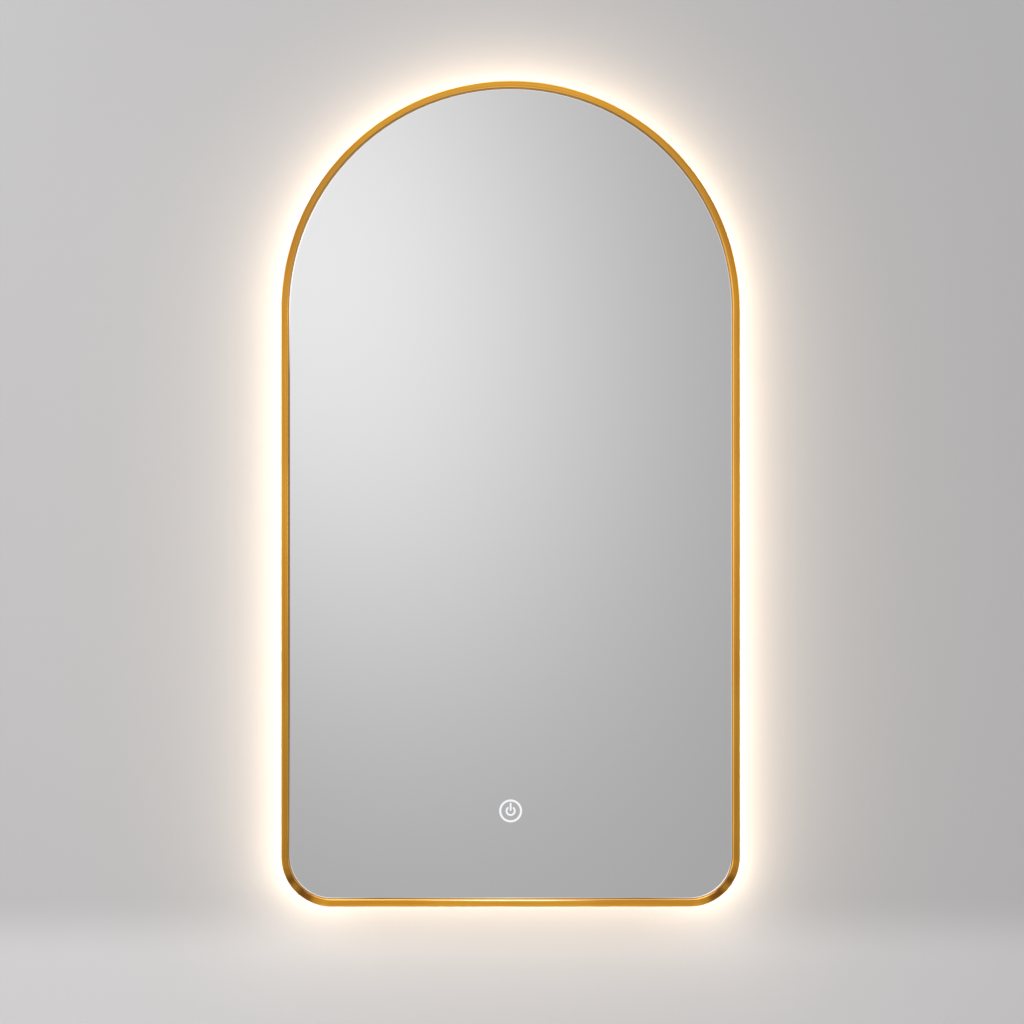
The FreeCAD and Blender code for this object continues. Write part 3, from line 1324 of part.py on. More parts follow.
def make_driver():
    """Case with posts and ears, its cover, and the board with its connectors and main components."""
    case_blank = plate(
        "driver_blank",
        ("-driver_half_width", "driver_half_width"),
        ("panel_front", "driver_case_front"),
        ("-driver_half_length", "driver_half_length"),
        "driver_rounding",
    )
    ears = block(
        "driver_ears",
        ("-driver_ear_width / 2", "driver_ear_width / 2"),
        ("panel_front", "driver_base_front"),
        ("-driver_half_length - driver_ear", "driver_half_length + driver_ear"),
    )
    inner = ("-driver_half_width + driver_wall", "driver_half_width - driver_wall")
    inner_up = ("-driver_half_length + driver_wall", "driver_half_length - driver_wall")
    hollow = block("driver_hollow", inner, ("driver_base_front", "driver_case_front"), inner_up)
    shell = cut("driver_shell", fuse("driver_solid", [case_blank, ears]), [hollow])
    posts = [
        forward_rod(
            f"board_post_{side}_{end}",
            "post_diameter / 2",
            ("driver_base_front", "board_back"),
            f"{across}(driver_half_width - post_inset)",
            f"{up}(driver_half_length - post_inset)",
        )
        for side, across in (("left", "-"), ("right", ""))
        for end, up in (("low", "-"), ("high", ""))
    ]
    wires = [
        upright_rod(
            f"input_hole_{number}",
            "wire_diameter / 2 + wire_play",
            ("driver_half_length - driver_wall", "driver_half_length"),
            f"{sign}terminal_pitch / 2",
            "wire_depth",
        )
        for number, sign in enumerate(("-", ""))
    ]
    outputs = [
        upright_rod(
            f"output_hole_{name}",
            f"{name}_diameter / 2 + wire_play",
            ("-driver_half_length", "-driver_half_length + driver_wall"),
            f"{sign}output_offset",
            "wire_depth",
        )
        for name, sign in (("lead", "-"), ("demister_lead", ""))
    ]
    ear_holes = [
        forward_rod(
            f"ear_hole_{number}",
            "screw_diameter / 2",
            ("panel_front", "driver_base_front"),
            "0",
            f"{sign}(driver_half_length + driver_ear / 2)",
        )
        for number, sign in enumerate(("-", ""))
    ]
    case = cut("driver_housing", fuse("driver_shell_posts", [shell] + posts), wires + outputs + ear_holes)
    finish_node(case, "driver_case", "driver")

    lid = plate(
        "driver_lid",
        ("-driver_half_width", "driver_half_width"),
        ("driver_case_front", "driver_front"),
        ("-driver_half_length", "driver_half_length"),
        "driver_rounding",
    )
    finish_node(lid, "driver_cover", "driver")

    board = block(
        "board_sheet",
        ("-driver_half_width + driver_wall + board_play", "driver_half_width - driver_wall - board_play"),
        ("board_back", "board_front"),
        ("-driver_half_length + driver_wall + board_play", "driver_half_length - driver_wall - board_play"),
    )
    finish_node(group("board", [board]), "driver_board", "driver")
    span = ("-driver_half_width + connector_margin", "driver_half_width - connector_margin")
    depth = ("board_front", "board_front + connector_height")
    connectors = [
        block("input_connector", span, depth, ("connector_end - connector_length", "connector_end")),
        block("output_connector", span, depth, ("-connector_end", "-connector_end + connector_length")),
    ]
    finish_node(group("connectors", connectors), "driver_connectors", "driver")
    transformer = block(
        "transformer_core",
        ("-transformer_width / 2", "transformer_width / 2"),
        ("board_front", "board_front + transformer_height"),
        ("part_offset - transformer_length / 2", "part_offset + transformer_length / 2"),
    )
    finish_node(group("transformer", [transformer]), "driver_transformer", "driver")
    capacitors = [
        upright_rod(
            f"capacitor_{number}",
            "capacitor_diameter / 2",
            ("-part_offset - capacitor_length / 2", "-part_offset + capacitor_length / 2"),
            f"({number} - 0.5) * capacitor_spacing",
            "board_front + capacitor_diameter / 2",
        )
        for number in range(2)
    ]
    finish_node(group("capacitors", capacitors), "driver_capacitors", "driver")
    length = dim.panel_thickness + dim.driver_wall
    screw = pan_screw(dim.screw_diameter, dim.head_diameter, dim.head_height, length)
    finish_node(formed("ear_screws", copies(screw, driver_screw_places())), "driver_screws")


def make_sensor():
    """The touch sensor on the glass's rear: case, board, the light guide behind the icon, lead connectors."""
    blank = plate(
        "sensor_blank",
        ("-sensor_half_width", "sensor_half_width"),
        ("sensor_back", "glass_back"),
        ("-sensor_half_height", "sensor_half_height"),
        "sensor_rounding",
    )
    inner = ("-sensor_half_width + sensor_wall", "sensor_half_width - sensor_wall")
    inner_up = ("-sensor_half_height + sensor_wall", "sensor_half_height - sensor_wall")
    hollow = block("sensor_hollow", inner, ("sensor_floor", "glass_back"), inner_up)
    holes = [
        upright_rod(
            "sensor_hole_high",
            "lead_diameter / 2 + wire_play",
            ("sensor_half_height - sensor_wall", "sensor_half_height"),
            "0",
            "plug_depth",
        ),
        upright_rod(
            "sensor_hole_low",
            "strip_lead_diameter / 2 + wire_play",
            ("-sensor_half_height", "-sensor_half_height + sensor_wall"),
            "0",
            "plug_depth",
        ),
    ]
    finish_node(cut("sensor_shell", blank, [hollow] + holes), "sensor_case", "sensor")
    margin = "sensor_wall - sensor_board_play"
    board = block(
        "sensor_sheet",
        (f"-(sensor_half_width - {margin})", f"sensor_half_width - {margin}"),
        ("sensor_floor", "sensor_board_front"),
        (f"-(sensor_half_height - {margin})", f"sensor_half_height - {margin}"),
    )
    finish_node(group("sensor_plate", [board]), "sensor_board", "sensor")
    guide = forward_rod(
        "guide_disc", "icon_ring_diameter / 2 + guide_margin", ("sensor_board_front", "glass_back")
    )
    finish_node(group("light_guide", [guide]), "sensor_light_guide", "sensor")
    span = ("-plug_width / 2", "plug_width / 2")
    depth = ("sensor_board_front", "sensor_board_front + plug_height")
    plugs = [
        block("plug_high", span, depth, ("plug_end - plug_length", "plug_end")),
        block("plug_low", span, depth, ("-plug_end", "-plug_end + plug_length")),
    ]
    finish_node(group("plugs", plugs), "sensor_connectors", "sensor")


def make_demister():
    foil = plate(
        "foil",
        ("-pad_width / 2", "pad_width / 2"),
        ("pad_back", "glass_back"),
        ("-pad_drop - pad_height / 2", "-pad_drop + pad_height / 2"),
        "pad_rounding",
    )
    finish_node(foil, "demister_pad")
    lead_block = block(
        "foil_block",
        ("pad_block_x - pad_block_width / 2", "pad_block_x + pad_block_width / 2"),
        ("pad_block_back", "pad_back"),
        ("pad_block_low", "pad_block_low + pad_block_height"),
    )
    finish_node(group("foil_terminal", [lead_block]), "demister_terminal")


# ---------------------------------------------------------------------------------------------------------
# Leads, each one tube of straight runs joined by tangent arcs


def lead_tube(name, diameter, points):
    """A round tube along `points`, each (x, depth, z) in the arch's frame; its arcs are as large as fit."""
    corners = [Vector(x, -depth, z) for x, depth, z in points]
    edges = []
    start = corners[0]
    radii = []
    for before, corner, after in zip(corners, corners[1:], corners[2:]):
        back = before - corner
        ahead = after - corner
        turn = math.pi - back.getAngle(ahead)
        reach = BEND_SHARE * min(back.Length, ahead.Length)
        radii.append(reach / math.tan(turn / 2))
        entry = corner + back.normalize() * reach
        leave = corner + ahead.normalize() * reach
        bisector = (back + ahead).normalize()
        centre = corner + bisector * (radii[-1] / math.cos(turn / 2))
        edges.append(Part.makeLine(start, entry))
        edges.append(Part.Arc(entry, centre - bisector * radii[-1], leave).toShape())
        start = leave
    edges.append(Part.makeLine(start, corners[-1]))
    path = Part.Wire(edges)
    section = Part.Wire(Part.makeCircle(diameter / 2, corners[0], corners[1] - corners[0]))
    tube = path.makePipeShell([section], True, False)
    expected = math.pi * diameter**2 / 4 * path.Length
    print(
        f"{name}: {path.Length:.1f} mm long, tightest bend {min(radii):.1f} mm,",
        f"volume {tube.Volume / expected:.4f} of section times length",
    )
    return tube


def make_mains_leads():
    """Two single wires straight from the terminal block down into the driver."""
    span = ("driver_z + connector_end", "-wiring_drop")
    wires = [
        upright_rod(f"mains_wire_{pole}", "wire_diameter / 2", span, pole_x(pole), "wire_depth")
        for pole in range(2)
    ]
    finish_node(group("mains_wires", wires), "mains_leads")


def make_earth_lead():
    """From the third pole down through the tray's wall and across to the ring tag's barrel."""
    pole = dim.terminal_x + dim.terminal_pitch
    tray_low = -dim.wiring_drop - dim.tray_half_height
    points = [
        (pole, dim.wire_depth, -dim.wiring_drop),
        (pole, dim.wire_depth, tray_low - dim.earth_run),
        (dim.earth_x, dim.tag_depth, dim.tag_barrel_high + dim.tag_run),
        (dim.earth_x, dim.tag_depth, dim.tag_barrel_high),
    ]
    finish_node(formed("earth_wire", [lead_tube("earth_lead", dim.wire_diameter, points)]), "earth_lead")


def make_driver_lead():
    """From the driver down to the panel, through two clips, and out to the sensor on the glass."""
    left = dim.driver_x - dim.output_offset
    driver_low = dim.driver_z - dim.driver_half_length
    sensor_high = dim.icon_z + dim.sensor_half_height
    clipped = dim.panel_front + dim.lead_level
    points = [
        (left, dim.wire_depth, dim.driver_z - dim.connector_end),
        (left, dim.wire_depth, driver_low - dim.driver_run),
        (dim.clip_x, clipped, dim.clip_z + dim.clip_run),
        (dim.clip_x, clipped, dim.clip_z - dim.clip_run),
        (0, dim.plug_depth, sensor_high + dim.sensor_run),
        (0, dim.plug_depth, dim.icon_z + dim.plug_end),
    ]
    finish_node(formed("sensor_feed", [lead_tube("driver_lead", dim.lead_diameter, points)]), "driver_lead")


def make_clips():
    """Adhesive clips on the panel, bored for the lead that they hold."""
    blanks = [
        block(
            f"clip_blank_{side}",
            ("clip_x - clip_width / 2", "clip_x + clip_width / 2"),
            ("panel_front", "panel_front + lead_level + lead_diameter / 2 + clip_wall"),
            (f"clip_z {sign} clip_offset - clip_height / 2", f"clip_z {sign} clip_offset + clip_height / 2"),
        )
        for side, sign in (("high", "+"), ("low", "-"))
    ]
    bore = upright_rod(
        "clip_bore",
        "lead_diameter / 2",
        ("clip_z - clip_run", "clip_z + clip_run"),
        "clip_x",
        "panel_front + lead_level",
    )
    finish_node(cut("clips", group("clip_blanks", blanks), [bore]), "lead_clips")


def make_strip_lead():
    """From the sensor down through the box wall to the back of the LED strip."""
    strip_face = dim.box_inset - dim.straight_height
    points = [
        (0, dim.plug_depth, dim.icon_z - dim.plug_end),
        (0, dim.plug_depth, dim.icon_z - dim.sensor_half_height - dim.strip_run_high),
        (0, dim.strip_middle, strip_face + dim.strip_run_low),
        (0, dim.strip_middle, strip_face),
    ]
    tube = lead_tube("strip_lead", dim.strip_lead_diameter, points)
    finish_node(formed("strip_feed", [tube]), "strip_lead")


def make_demister_lead():
    """A loop below the driver that comes up to the block on the heating foil."""
    left = dim.driver_x + dim.output_offset
    right = dim.pad_block_x
    quarter = (right - left) / 4
    block_depth = (dim.pad_block_back + dim.pad_back) / 2
    driver_low = dim.driver_z - dim.driver_half_length
    low = min(driver_low, dim.pad_block_low) - dim.loop_drop
    points = [
        (left, dim.wire_depth, dim.driver_z - dim.connector_end),
        (left, dim.wire_depth, low + dim.loop_side),
        (left + quarter, dim.wire_depth + dim.loop_bulge, low),
        (right - quarter, block_depth - dim.loop_bulge, low),
        (right, block_depth, low + dim.loop_side),
        (right, block_depth, dim.pad_block_low),
    ]
    tube = lead_tube("demister_lead", dim.demister_lead_diameter, points)
    finish_node(formed("foil_feed", [tube]), "demister_lead")


def make_earth_point():
    """Ring tag on the earth lead, screwed to the panel from inside."""
    ring = forward_rod("tag_ring", "tag_diameter / 2", ("panel_front", "tag_front"), "earth_x", "-earth_drop")
    barrel = upright_rod(
        "tag_barrel_rod",
        "wire_diameter / 2 + tag_barrel_wall",
        ("tag_barrel_low - tag_thickness", "tag_barrel_high"),
        "earth_x",
        "tag_depth",
    )
    hole = forward_rod(
        "tag_hole", "earth_screw_diameter / 2", ("panel_front", "tag_front"), "earth_x", "-earth_drop"
    )
    finish_node(cut("tag", fuse("tag_solid", [ring, barrel]), [hole]), "earth_tag")
    rods = [
        forward_rod(
            "earth_shank",
            "earth_screw_diameter / 2",
            ("wall_gap - earth_tip", "tag_front"),
            "earth_x",
            "-earth_drop",
        ),
        forward_rod(
            "earth_head",
            "earth_head_diameter / 2",
            ("tag_front", "tag_front + earth_head_height"),
            "earth_x",
            "-earth_drop",
        ),
    ]
    finish_node(fuse("earth_bolt", rods), "earth_screw")


# ---------------------------------------------------------------------------------------------------------
# Build, check and write


def check_document():
    """Stops if any object failed, or any node's shape is missing, invalid or empty."""
    for item in doc.Objects:
        if "Invalid" in item.State or "Error" in item.State:
            raise RuntimeError(f"{item.Label} failed: {item.State}")
    for item in nodes:
        shape = item.Shape
        if shape.isNull() or not shape.isValid() or not shape.Solids or shape.Volume <= 0:
            raise RuntimeError(f"{item.Label} has no valid solid")


def main():
    make_glass()
    make_frame()
    make_splice()
    make_tapes()
    make_box_band()
    make_opal_cover()
    make_led_strip()
    make_ties()
    make_back_panel()
    make_wall_bracket()
    make_hanger_bar()
    make_bumpers()
    make_wiring_box()
    make_wiring_cover()
    make_inlet()
    make_terminals()
    make_driver()
    make_sensor()
    make_demister()
    make_mains_leads()
    make_earth_lead()
    make_driver_lead()
    make_clips()
    make_strip_lead()
    make_demister_lead()
    make_earth_point()
    doc.recompute()
    check_document()
    os.makedirs("parts", exist_ok=True)
    for item in nodes:
        item.Shape.exportStep(f"parts/{item.Label}.step")
    print(f"{len(nodes)} nodes written")


main()
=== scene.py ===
import json
import math

import bpy
from mathutils import Matrix, Vector


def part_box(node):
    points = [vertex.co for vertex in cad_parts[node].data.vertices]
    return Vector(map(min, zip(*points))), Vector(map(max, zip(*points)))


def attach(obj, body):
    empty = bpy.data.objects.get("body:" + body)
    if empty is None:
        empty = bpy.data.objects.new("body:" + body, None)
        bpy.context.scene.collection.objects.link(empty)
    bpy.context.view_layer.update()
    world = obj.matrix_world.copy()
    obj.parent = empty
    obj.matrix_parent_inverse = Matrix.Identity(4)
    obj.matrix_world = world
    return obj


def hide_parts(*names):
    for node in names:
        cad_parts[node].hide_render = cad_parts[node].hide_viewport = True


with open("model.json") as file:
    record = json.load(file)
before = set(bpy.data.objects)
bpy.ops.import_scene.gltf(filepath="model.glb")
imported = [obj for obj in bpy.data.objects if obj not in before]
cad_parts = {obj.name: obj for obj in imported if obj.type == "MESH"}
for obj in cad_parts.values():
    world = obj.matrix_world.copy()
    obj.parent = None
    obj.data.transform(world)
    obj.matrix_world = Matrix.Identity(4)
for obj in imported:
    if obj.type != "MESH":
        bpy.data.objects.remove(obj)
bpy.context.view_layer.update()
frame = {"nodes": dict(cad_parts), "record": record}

# Looks of the lighted mirror: row frame, metres, +Z up, +Y into the wall, the wall at y = 0.

MM = 0.001
FRAME_LOW, FRAME_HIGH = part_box("frame_channel")
ARCH_RADIUS = FRAME_HIGH.x
ARCH_CENTRE = Vector((0, 0, FRAME_HIGH.z - ARCH_RADIUS))
CORNER_RADIUS = 55 * MM
# The hairline joint of the bent channel, in the middle of the foot
SEAM = 0.02 * MM
MIDDLE = (FRAME_LOW.z + FRAME_HIGH.z) / 2

# Camera of the photograph: square on, its height a little under the mirror's middle
LENS = 85
CAMERA = Vector((0.0015, -2.675, -0.25))
CLIP_START = 0.1
CLIP_END = 60


# -----------------------------------------------------------------------------------------------------
# Node materials


class Nodes:
    """Short ways to add and join the nodes of one tree."""

    def __init__(self, tree):
        self.tree = tree

    def feed(self, socket, value):
        if isinstance(value, bpy.types.NodeSocket):
            self.tree.links.new(value, socket)
        else:
            socket.default_value = value

    def node(self, kind, inputs=(), **settings):
        """Adds a node; `inputs` maps a socket to a value or to another node's output."""
        made = self.tree.nodes.new("ShaderNode" + kind)
        for key, value in settings.items():
            setattr(made, key, value)
        for socket, value in dict(inputs).items():
            self.feed(made.inputs[socket], value)
        return made

    def math(self, operation, first, second=0.0, third=0.0):
        inputs = {0: first, 1: second, 2: third}
        return self.node("Math", inputs, operation=operation).outputs["Value"]

    def total(self, *values):
        """The sum of several values."""
        added = values[0]
        for value in values[1:]:
            added = self.math("ADD", added, value)
        return added

    def between(self, factor, low, high, start=0.0, end=1.0, shape="LINEAR"):
        """From `low` to `high` while the factor goes from `start` to `end`."""
        inputs = {"Value": factor, "From Min": start, "From Max": end, "To Min": low, "To Max": high}
        return self.node("MapRange", inputs, interpolation_type=shape).outputs["Result"]

    def mix(self, factor, first, second):
        """A colour between `first` at 0 and `second` at 1; the numbers are the Mix node's colour sockets."""
        inputs = {0: factor, 6: first, 7: second}
        return self.node("Mix", inputs, data_type="RGBA").outputs[2]

    def ramp(self, factor, stops, shape="LINEAR"):
        """A colour ramp through `stops`, (place, colour) each, the first at 0 and the last at 1."""
        made = self.node("ValToRGB", {"Fac": factor})
        made.color_ramp.interpolation = shape
        elements = made.color_ramp.elements
        elements[0].color = stops[0][1]
        elements[1].color = stops[-1][1]
        for place, colour in stops[1:-1]:
            elements.new(place).color = colour
        return made.outputs["Color"]


class Shader(Nodes):
    """A node material round one Principled BSDF; constants go on the shader's own sockets."""

    def __init__(self, name, **constants):
        self.material = bpy.data.materials.new(name)
        self.material.use_nodes = True
        super().__init__(self.material.node_tree)
        self.bsdf = self.tree.nodes["Principled BSDF"]
        self.coords = self.tree.nodes.new("ShaderNodeTexCoord")
        for socket, value in constants.items():
            self.set(socket.replace("_", " ").title().replace("Ior", "IOR"), value)

    def set(self, socket, value):
        self.feed(self.bsdf.inputs[socket], value)
        return self

    def spread(self, stretch=(1, 1, 1), source=None):
        """Object coordinates, or another vector, scaled per axis."""
        vector = source or self.coords.outputs["Object"]
        return self.node("Mapping", {"Vector": vector, "Scale": stretch}).outputs["Vector"]

    def noise(self, scale, detail=2.0, stretch=(1, 1, 1), source=None):
        place = self.spread(stretch, source)
        return self.node("TexNoise", {"Vector": place, "Scale": scale, "Detail": detail}).outputs["Fac"]

    def cells(self, scale, feature="F1", output="Distance"):
        place = self.spread()
        made = self.node("TexVoronoi", {"Vector": place, "Scale": scale}, feature=feature)
        return made.outputs[output]

    def bump(self, height, distance, strength=1.0):
        inputs = {"Height": height, "Distance": distance, "Strength": strength}
        return self.set("Normal", self.node("Bump", inputs).outputs["Normal"])


def rgb(red, green, blue):
    return (red, green, blue, 1.0)


def grey(level):
    return rgb(level, level, level)


def shade(colour, factor):
    return rgb(*(min(1.0, channel * factor) for channel in colour[:3]))


def moulded(name, colour, roughness, grain=900, depth=0.02 * MM):
    """Moulded plastic: spark-eroded grain, and a faint cloudiness in colour and gloss."""
    made = Shader(name)
    cloud = made.noise(14, 3)
    made.set("Base Color", made.mix(cloud, shade(colour, 0.93), shade(colour, 1.04)))
    made.set("Roughness", made.between(cloud, roughness - 0.06, roughness + 0.06))
    made.bump(made.noise(grain, 3), depth)
    return made


def sheet_metal(name, colour, roughness, scratch=(1, 1, 1)):
    """Rolled metal with fine lines along one axis and small dull patches."""
    made = Shader(name, metallic=1.0)
    lines = made.noise(700, 4, scratch)
    patches = made.noise(22, 3)
    made.set("Base Color", made.mix(patches, shade(colour, 0.9), shade(colour, 1.05)))
    made.set("Roughness", made.between(lines, roughness - 0.1, roughness + 0.1))
    made.bump(lines, 0.01 * MM)
    return made


# The gold's colours: the dark of its painted reflection bands, the channel's inner wall in painted shade,
# the face's two grain tones, and its outer edge's paler painted highlight
GOLD_PAINTED_REFLECTION_DARK = rgb(0.25, 0.085, 0.006)
GOLD_WALL_SHADE = rgb(0.74, 0.33, 0.02)
GOLD_DARK = rgb(0.76, 0.3, 0.018)
GOLD_PALE = rgb(1.0, 0.505, 0.05)
GOLD_OUTER_EDGE_HIGHLIGHT = rgb(1.0, 0.68, 0.24)
OUTER_EDGE_HIGHLIGHT_SHARE = 0.75
# Painted highlights and painted shade for the inner edge
EDGE_HIGHLIGHT_WHITE = rgb(1.0, 0.9, 0.6)
EDGE_SHADE_DIM = rgb(0.22, 0.115, 0.016)
EDGE_SHADE_DEEP = rgb(0.78, 0.42, 0.06)
EDGE_HIGHLIGHT_PALE = rgb(1.0, 0.64, 0.18)
# Painted highlight and shade on the inner edge, by the distance from the seam in metres: a white painted
# highlight in the middle of the foot, painted shade on the rest of the foot, the corners and the sides, and
# a paler painted highlight round the arch
INNER_EDGE_PAINTED_LIGHT = (
    (0.0, EDGE_HIGHLIGHT_WHITE),
    (0.045, EDGE_HIGHLIGHT_WHITE),
    (0.1, EDGE_SHADE_DIM),
    (0.26, EDGE_SHADE_DIM),
    (0.32, EDGE_SHADE_DEEP),
    (0.85, EDGE_SHADE_DEEP),
    (0.95, EDGE_HIGHLIGHT_PALE),
    (1.0, EDGE_HIGHLIGHT_PALE),
)
# Zones round the frame's section, each from one of its spots to another, as (inset, depth) in millimetres
INNER_WALL = ((8, 40.8), (8, 32))
INNER_EDGE = ((6.4, 42), (7.1, 41.7))
OUTER_EDGE = ((0, 40.9), (0.9, 42))
# The grain's noises: detail, stretch along and round the section, and share of the tone
GRAINS = {
    "fine": (4, (14, 5200, 1), 0.2),
    "streaks": (2, (0.9, 760, 1), 0.5),
    "waves": (1, (8, 45, 1), 0.3),
}
# How light the face is painted round a bottom corner, as painted reflections in light and dark bands; 0.25
# and 0.75 are the ends of the bend
BEND_PAINTED_REFLECTION_LEVELS = (
    (0.0, 0.9),
    (0.1, 0.9),
    (0.25, 0.88),
    (0.305, 1.0),
    (0.36, 0.8),
    (0.415, 0.14),
    (0.47, 0.1),
    (0.528, 0.8),
    (0.583, 0.15),
    (0.64, 0.7),
    (0.7, 0.9),
    (0.76, 0.8),
    (0.95, 0.9),
    (1.0, 0.9),
)


def make_brushed_gold():
    """Gold-anodised aluminium, brushed along the frame: its grain follows the piece's map. Its colour also
    carries painted reflection bands at the bends, painted shade on the inner wall and painted highlights on
    its edges.
    """
    lacquer = {"coat_weight": 0.35, "coat_roughness": 0.12}
    made = Shader("brushed_gold", metallic=1.0, anisotropic=0.9, anisotropic_rotation=0.25, **lacquer)
    along = made.node("UVMap", uv_map="grain").outputs["UV"]
    grains = {}
    for name, (detail, stretch, _) in GRAINS.items():
        grains[name] = made.noise(1.0, detail, stretch, along)
    weighed = [made.math("MULTIPLY", grains[name], share) for name, (_, _, share) in GRAINS.items()]
    brushed = made.mix(made.between(made.total(*weighed), 0, 1, 0.4, 0.6), GOLD_DARK, GOLD_PALE)
    # Painted reflections: dark and light bands painted across the face round the bottom corners
    bend_reflection_bands = painted_bend_reflections(made, along)
    with_reflection_bands = made.mix(bend_reflection_bands, GOLD_PAINTED_REFLECTION_DARK, brushed)
    inner_wall = section_zone(made, along, *INNER_WALL)
    inner_edge = section_zone(made, along, *INNER_EDGE)
    # Painted highlight: the outer rounding is painted three quarters of the way to a paler gold
    outer_edge_highlight = made.math("MULTIPLY", section_zone(made, along, *OUTER_EDGE), OUTER_EDGE_HIGHLIGHT_SHARE)
    # Painted shade: the channel's inner wall, in the recess beside the glass, is painted a darker gold
    with_wall_shade = made.mix(inner_wall, with_reflection_bands, GOLD_WALL_SHADE)
    with_edge_highlight = made.mix(outer_edge_highlight, with_wall_shade, GOLD_OUTER_EDGE_HIGHLIGHT)
    # Painted highlight and shade along the inner edge, with the painted reflection bands over it
    edge_painted_light = made.ramp(made.node("SeparateXYZ", {"Vector": along}).outputs["X"], INNER_EDGE_PAINTED_LIGHT)
    painted_inner_edge = made.mix(bend_reflection_bands, GOLD_PAINTED_REFLECTION_DARK, edge_painted_light)
    made.set("Base Color", made.mix(inner_edge, with_edge_highlight, painted_inner_edge))
    dulled = made.between(grains["fine"], 0.24, 0.36)
    made.set("Roughness", made.math("MULTIPLY", dulled, made.between(inner_edge, 1.0, 0.7)))
    tangent = made.node("Tangent", direction_type="UV_MAP", uv_map="grain")
    made.set("Tangent", tangent.outputs["Tangent"])
    made.bump(made.total(grains["fine"], grains["streaks"]), 0.014 * MM, 0.7)
    return made


def section_zone(made, along, start, end):
    """1 on the part of the section between two of its spots, 0 elsewhere."""
    section = frame_section()
    girth = section_girth(section)

    def place(spot):
        """How far round the section the point nearest to the spot lies."""
        aim = Vector(spot) * MM
        nearest = min(range(len(section)), key=lambda number: (section[number] - aim).length)
        return girth[nearest]

    across = made.node("SeparateXYZ", {"Vector": along}).outputs["Y"]
    past = made.math("GREATER_THAN", across, place(start))
    before = made.math("LESS_THAN", across, place(end))
    return made.math("MULTIPLY", past, before)


def painted_bend_reflections(made, along):
    """Painted reflections: light and dark bands painted across the face where the section is bent round the
    two bottom corners.
    """
    from_seam = made.node("SeparateXYZ", {"Vector": along}).outputs["X"]
    bend = CORNER_RADIUS * math.pi / 2
    start = ARCH_RADIUS - CORNER_RADIUS
    share = made.between(from_seam, 0.0, 1.0, start - bend / 2, start + bend * 3 / 2)
    return made.ramp(share, [(place, grey(level)) for place, level in BEND_PAINTED_REFLECTION_LEVELS], "EASE")


# Painted highlight on the arris: how brightly it glows and how pale it is painted, by its direction from the
# mirror's middle in degrees
ARRIS_PAINTED_HIGHLIGHTS = (
    (-180, 0.12),
    (-135, 0.12),
    (-122, 0.3),
    (-118, 0.6),
    (-114.5, 0.6),
    (-108, 0.2),
    (-90, 0.6),
    (-72, 0.2),
    (-66, 0.5),
    (-63, 1.0),
    (-60.5, 0.8),
    (-59, 0.3),
    (-50, 0.4),
    (14, 0.45),
    (48, 0.45),
    (65, 0.42),
    (82, 0.48),
    (98, 0.62),
    (115, 0.7),
    (128, 1.0),
    (140, 0.9),
    (152, 0.15),
    (180, 0.12),
)
# Strength of the arris's painted glow
ARRIS_PAINTED_GLOW = 1.1
ARRIS_ROUGHNESS = 0.25
# How far a face looks to the front or back, as a cosine: from where it counts as flat, and the arris's
FLAT_COSINE = 0.95
ARRIS_COSINE = math.sqrt(0.5)
ARRIS_PLAY = 0.1


def make_mirror_silver():
    """Silvered glass: a clear reflection, and a polished arris with a painted highlight: it glows and is
    painted from dark to pale by its direction from the mirror's middle.
    """
    made = Shader("mirror_silver")
    normal = made.node("NewGeometry").outputs["Normal"]
    facing = made.math("MULTIPLY", made.node("SeparateXYZ", {"Vector": normal}).outputs["Y"], -1.0)
    flat = made.math("GREATER_THAN", made.math("ABSOLUTE", facing), FLAT_COSINE)
    arris = made.math("COMPARE", facing, ARRIS_COSINE, ARRIS_PLAY)
    smear = made.noise(5, 4, (1, 1, 2.5))
    ground = made.math("MULTIPLY", made.math("SUBTRACT", 1.0, flat), ARRIS_ROUGHNESS)
    made.set("Metallic", flat)
    made.set("Roughness", made.total(made.between(smear, 0.0, 0.03), ground))
    painted_gleam = arris_painted_highlight(made)
    # Painted shade and highlight: the arris's colour goes from dark to pale with the painted gleam
    painted_arris_colour = made.mix(painted_gleam, rgb(0.22, 0.2, 0.17), rgb(0.74, 0.8, 0.82))
    made.set("Base Color", made.mix(flat, painted_arris_colour, rgb(0.93, 0.935, 0.94)))
    made.set("Emission Color", rgb(0.88, 0.95, 1.0))
    # Painted glow: the arris gives off light by the painted gleam
    made.set("Emission Strength", made.math("MULTIPLY", arris, made.math("MULTIPLY", painted_gleam, ARRIS_PAINTED_GLOW)))
    return made


def arris_painted_highlight(made):
    """The arris's painted highlight, read from the table above by its heading round the mirror's middle."""
    place = made.node("SeparateXYZ", {"Vector": made.coords.outputs["Object"]})
    above = made.math("SUBTRACT", place.outputs["Z"], MIDDLE)
    heading = made.math("ARCTAN2", above, place.outputs["X"])
    share = made.between(heading, 0.0, 1.0, -math.pi, math.pi)
    return made.ramp(share, [((angle + 180) / 360, grey(level)) for angle, level in ARRIS_PAINTED_HIGHLIGHTS])


def make_opal():
    """Opal cover lit from inside; the lamp's light on the wall comes from make_lamp_light."""
    made = Shader("opal_glow", roughness=0.45, emission_strength=2.0)
    made.set("Base Color", made.mix(made.noise(60, 2), rgb(0.9, 0.86, 0.78), rgb(0.97, 0.93, 0.86)))
    made.set("Emission Color", made.mix(made.noise(45, 1), rgb(0.95, 0.77, 0.5), rgb(1.0, 0.85, 0.58)))
    return made


def make_icon_glow():
    """The clear lines of the icon, lit from behind."""
    made = Shader("icon_white", roughness=0.6, specular_ior_level=0.0, emission_strength=0.92)
    made.set("Base Color", made.mix(made.noise(400, 2), grey(0.02), grey(0.04)))
    made.set("Emission Color", made.mix(made.noise(160, 2), rgb(0.96, 0.98, 1.0), grey(1)))
    return made


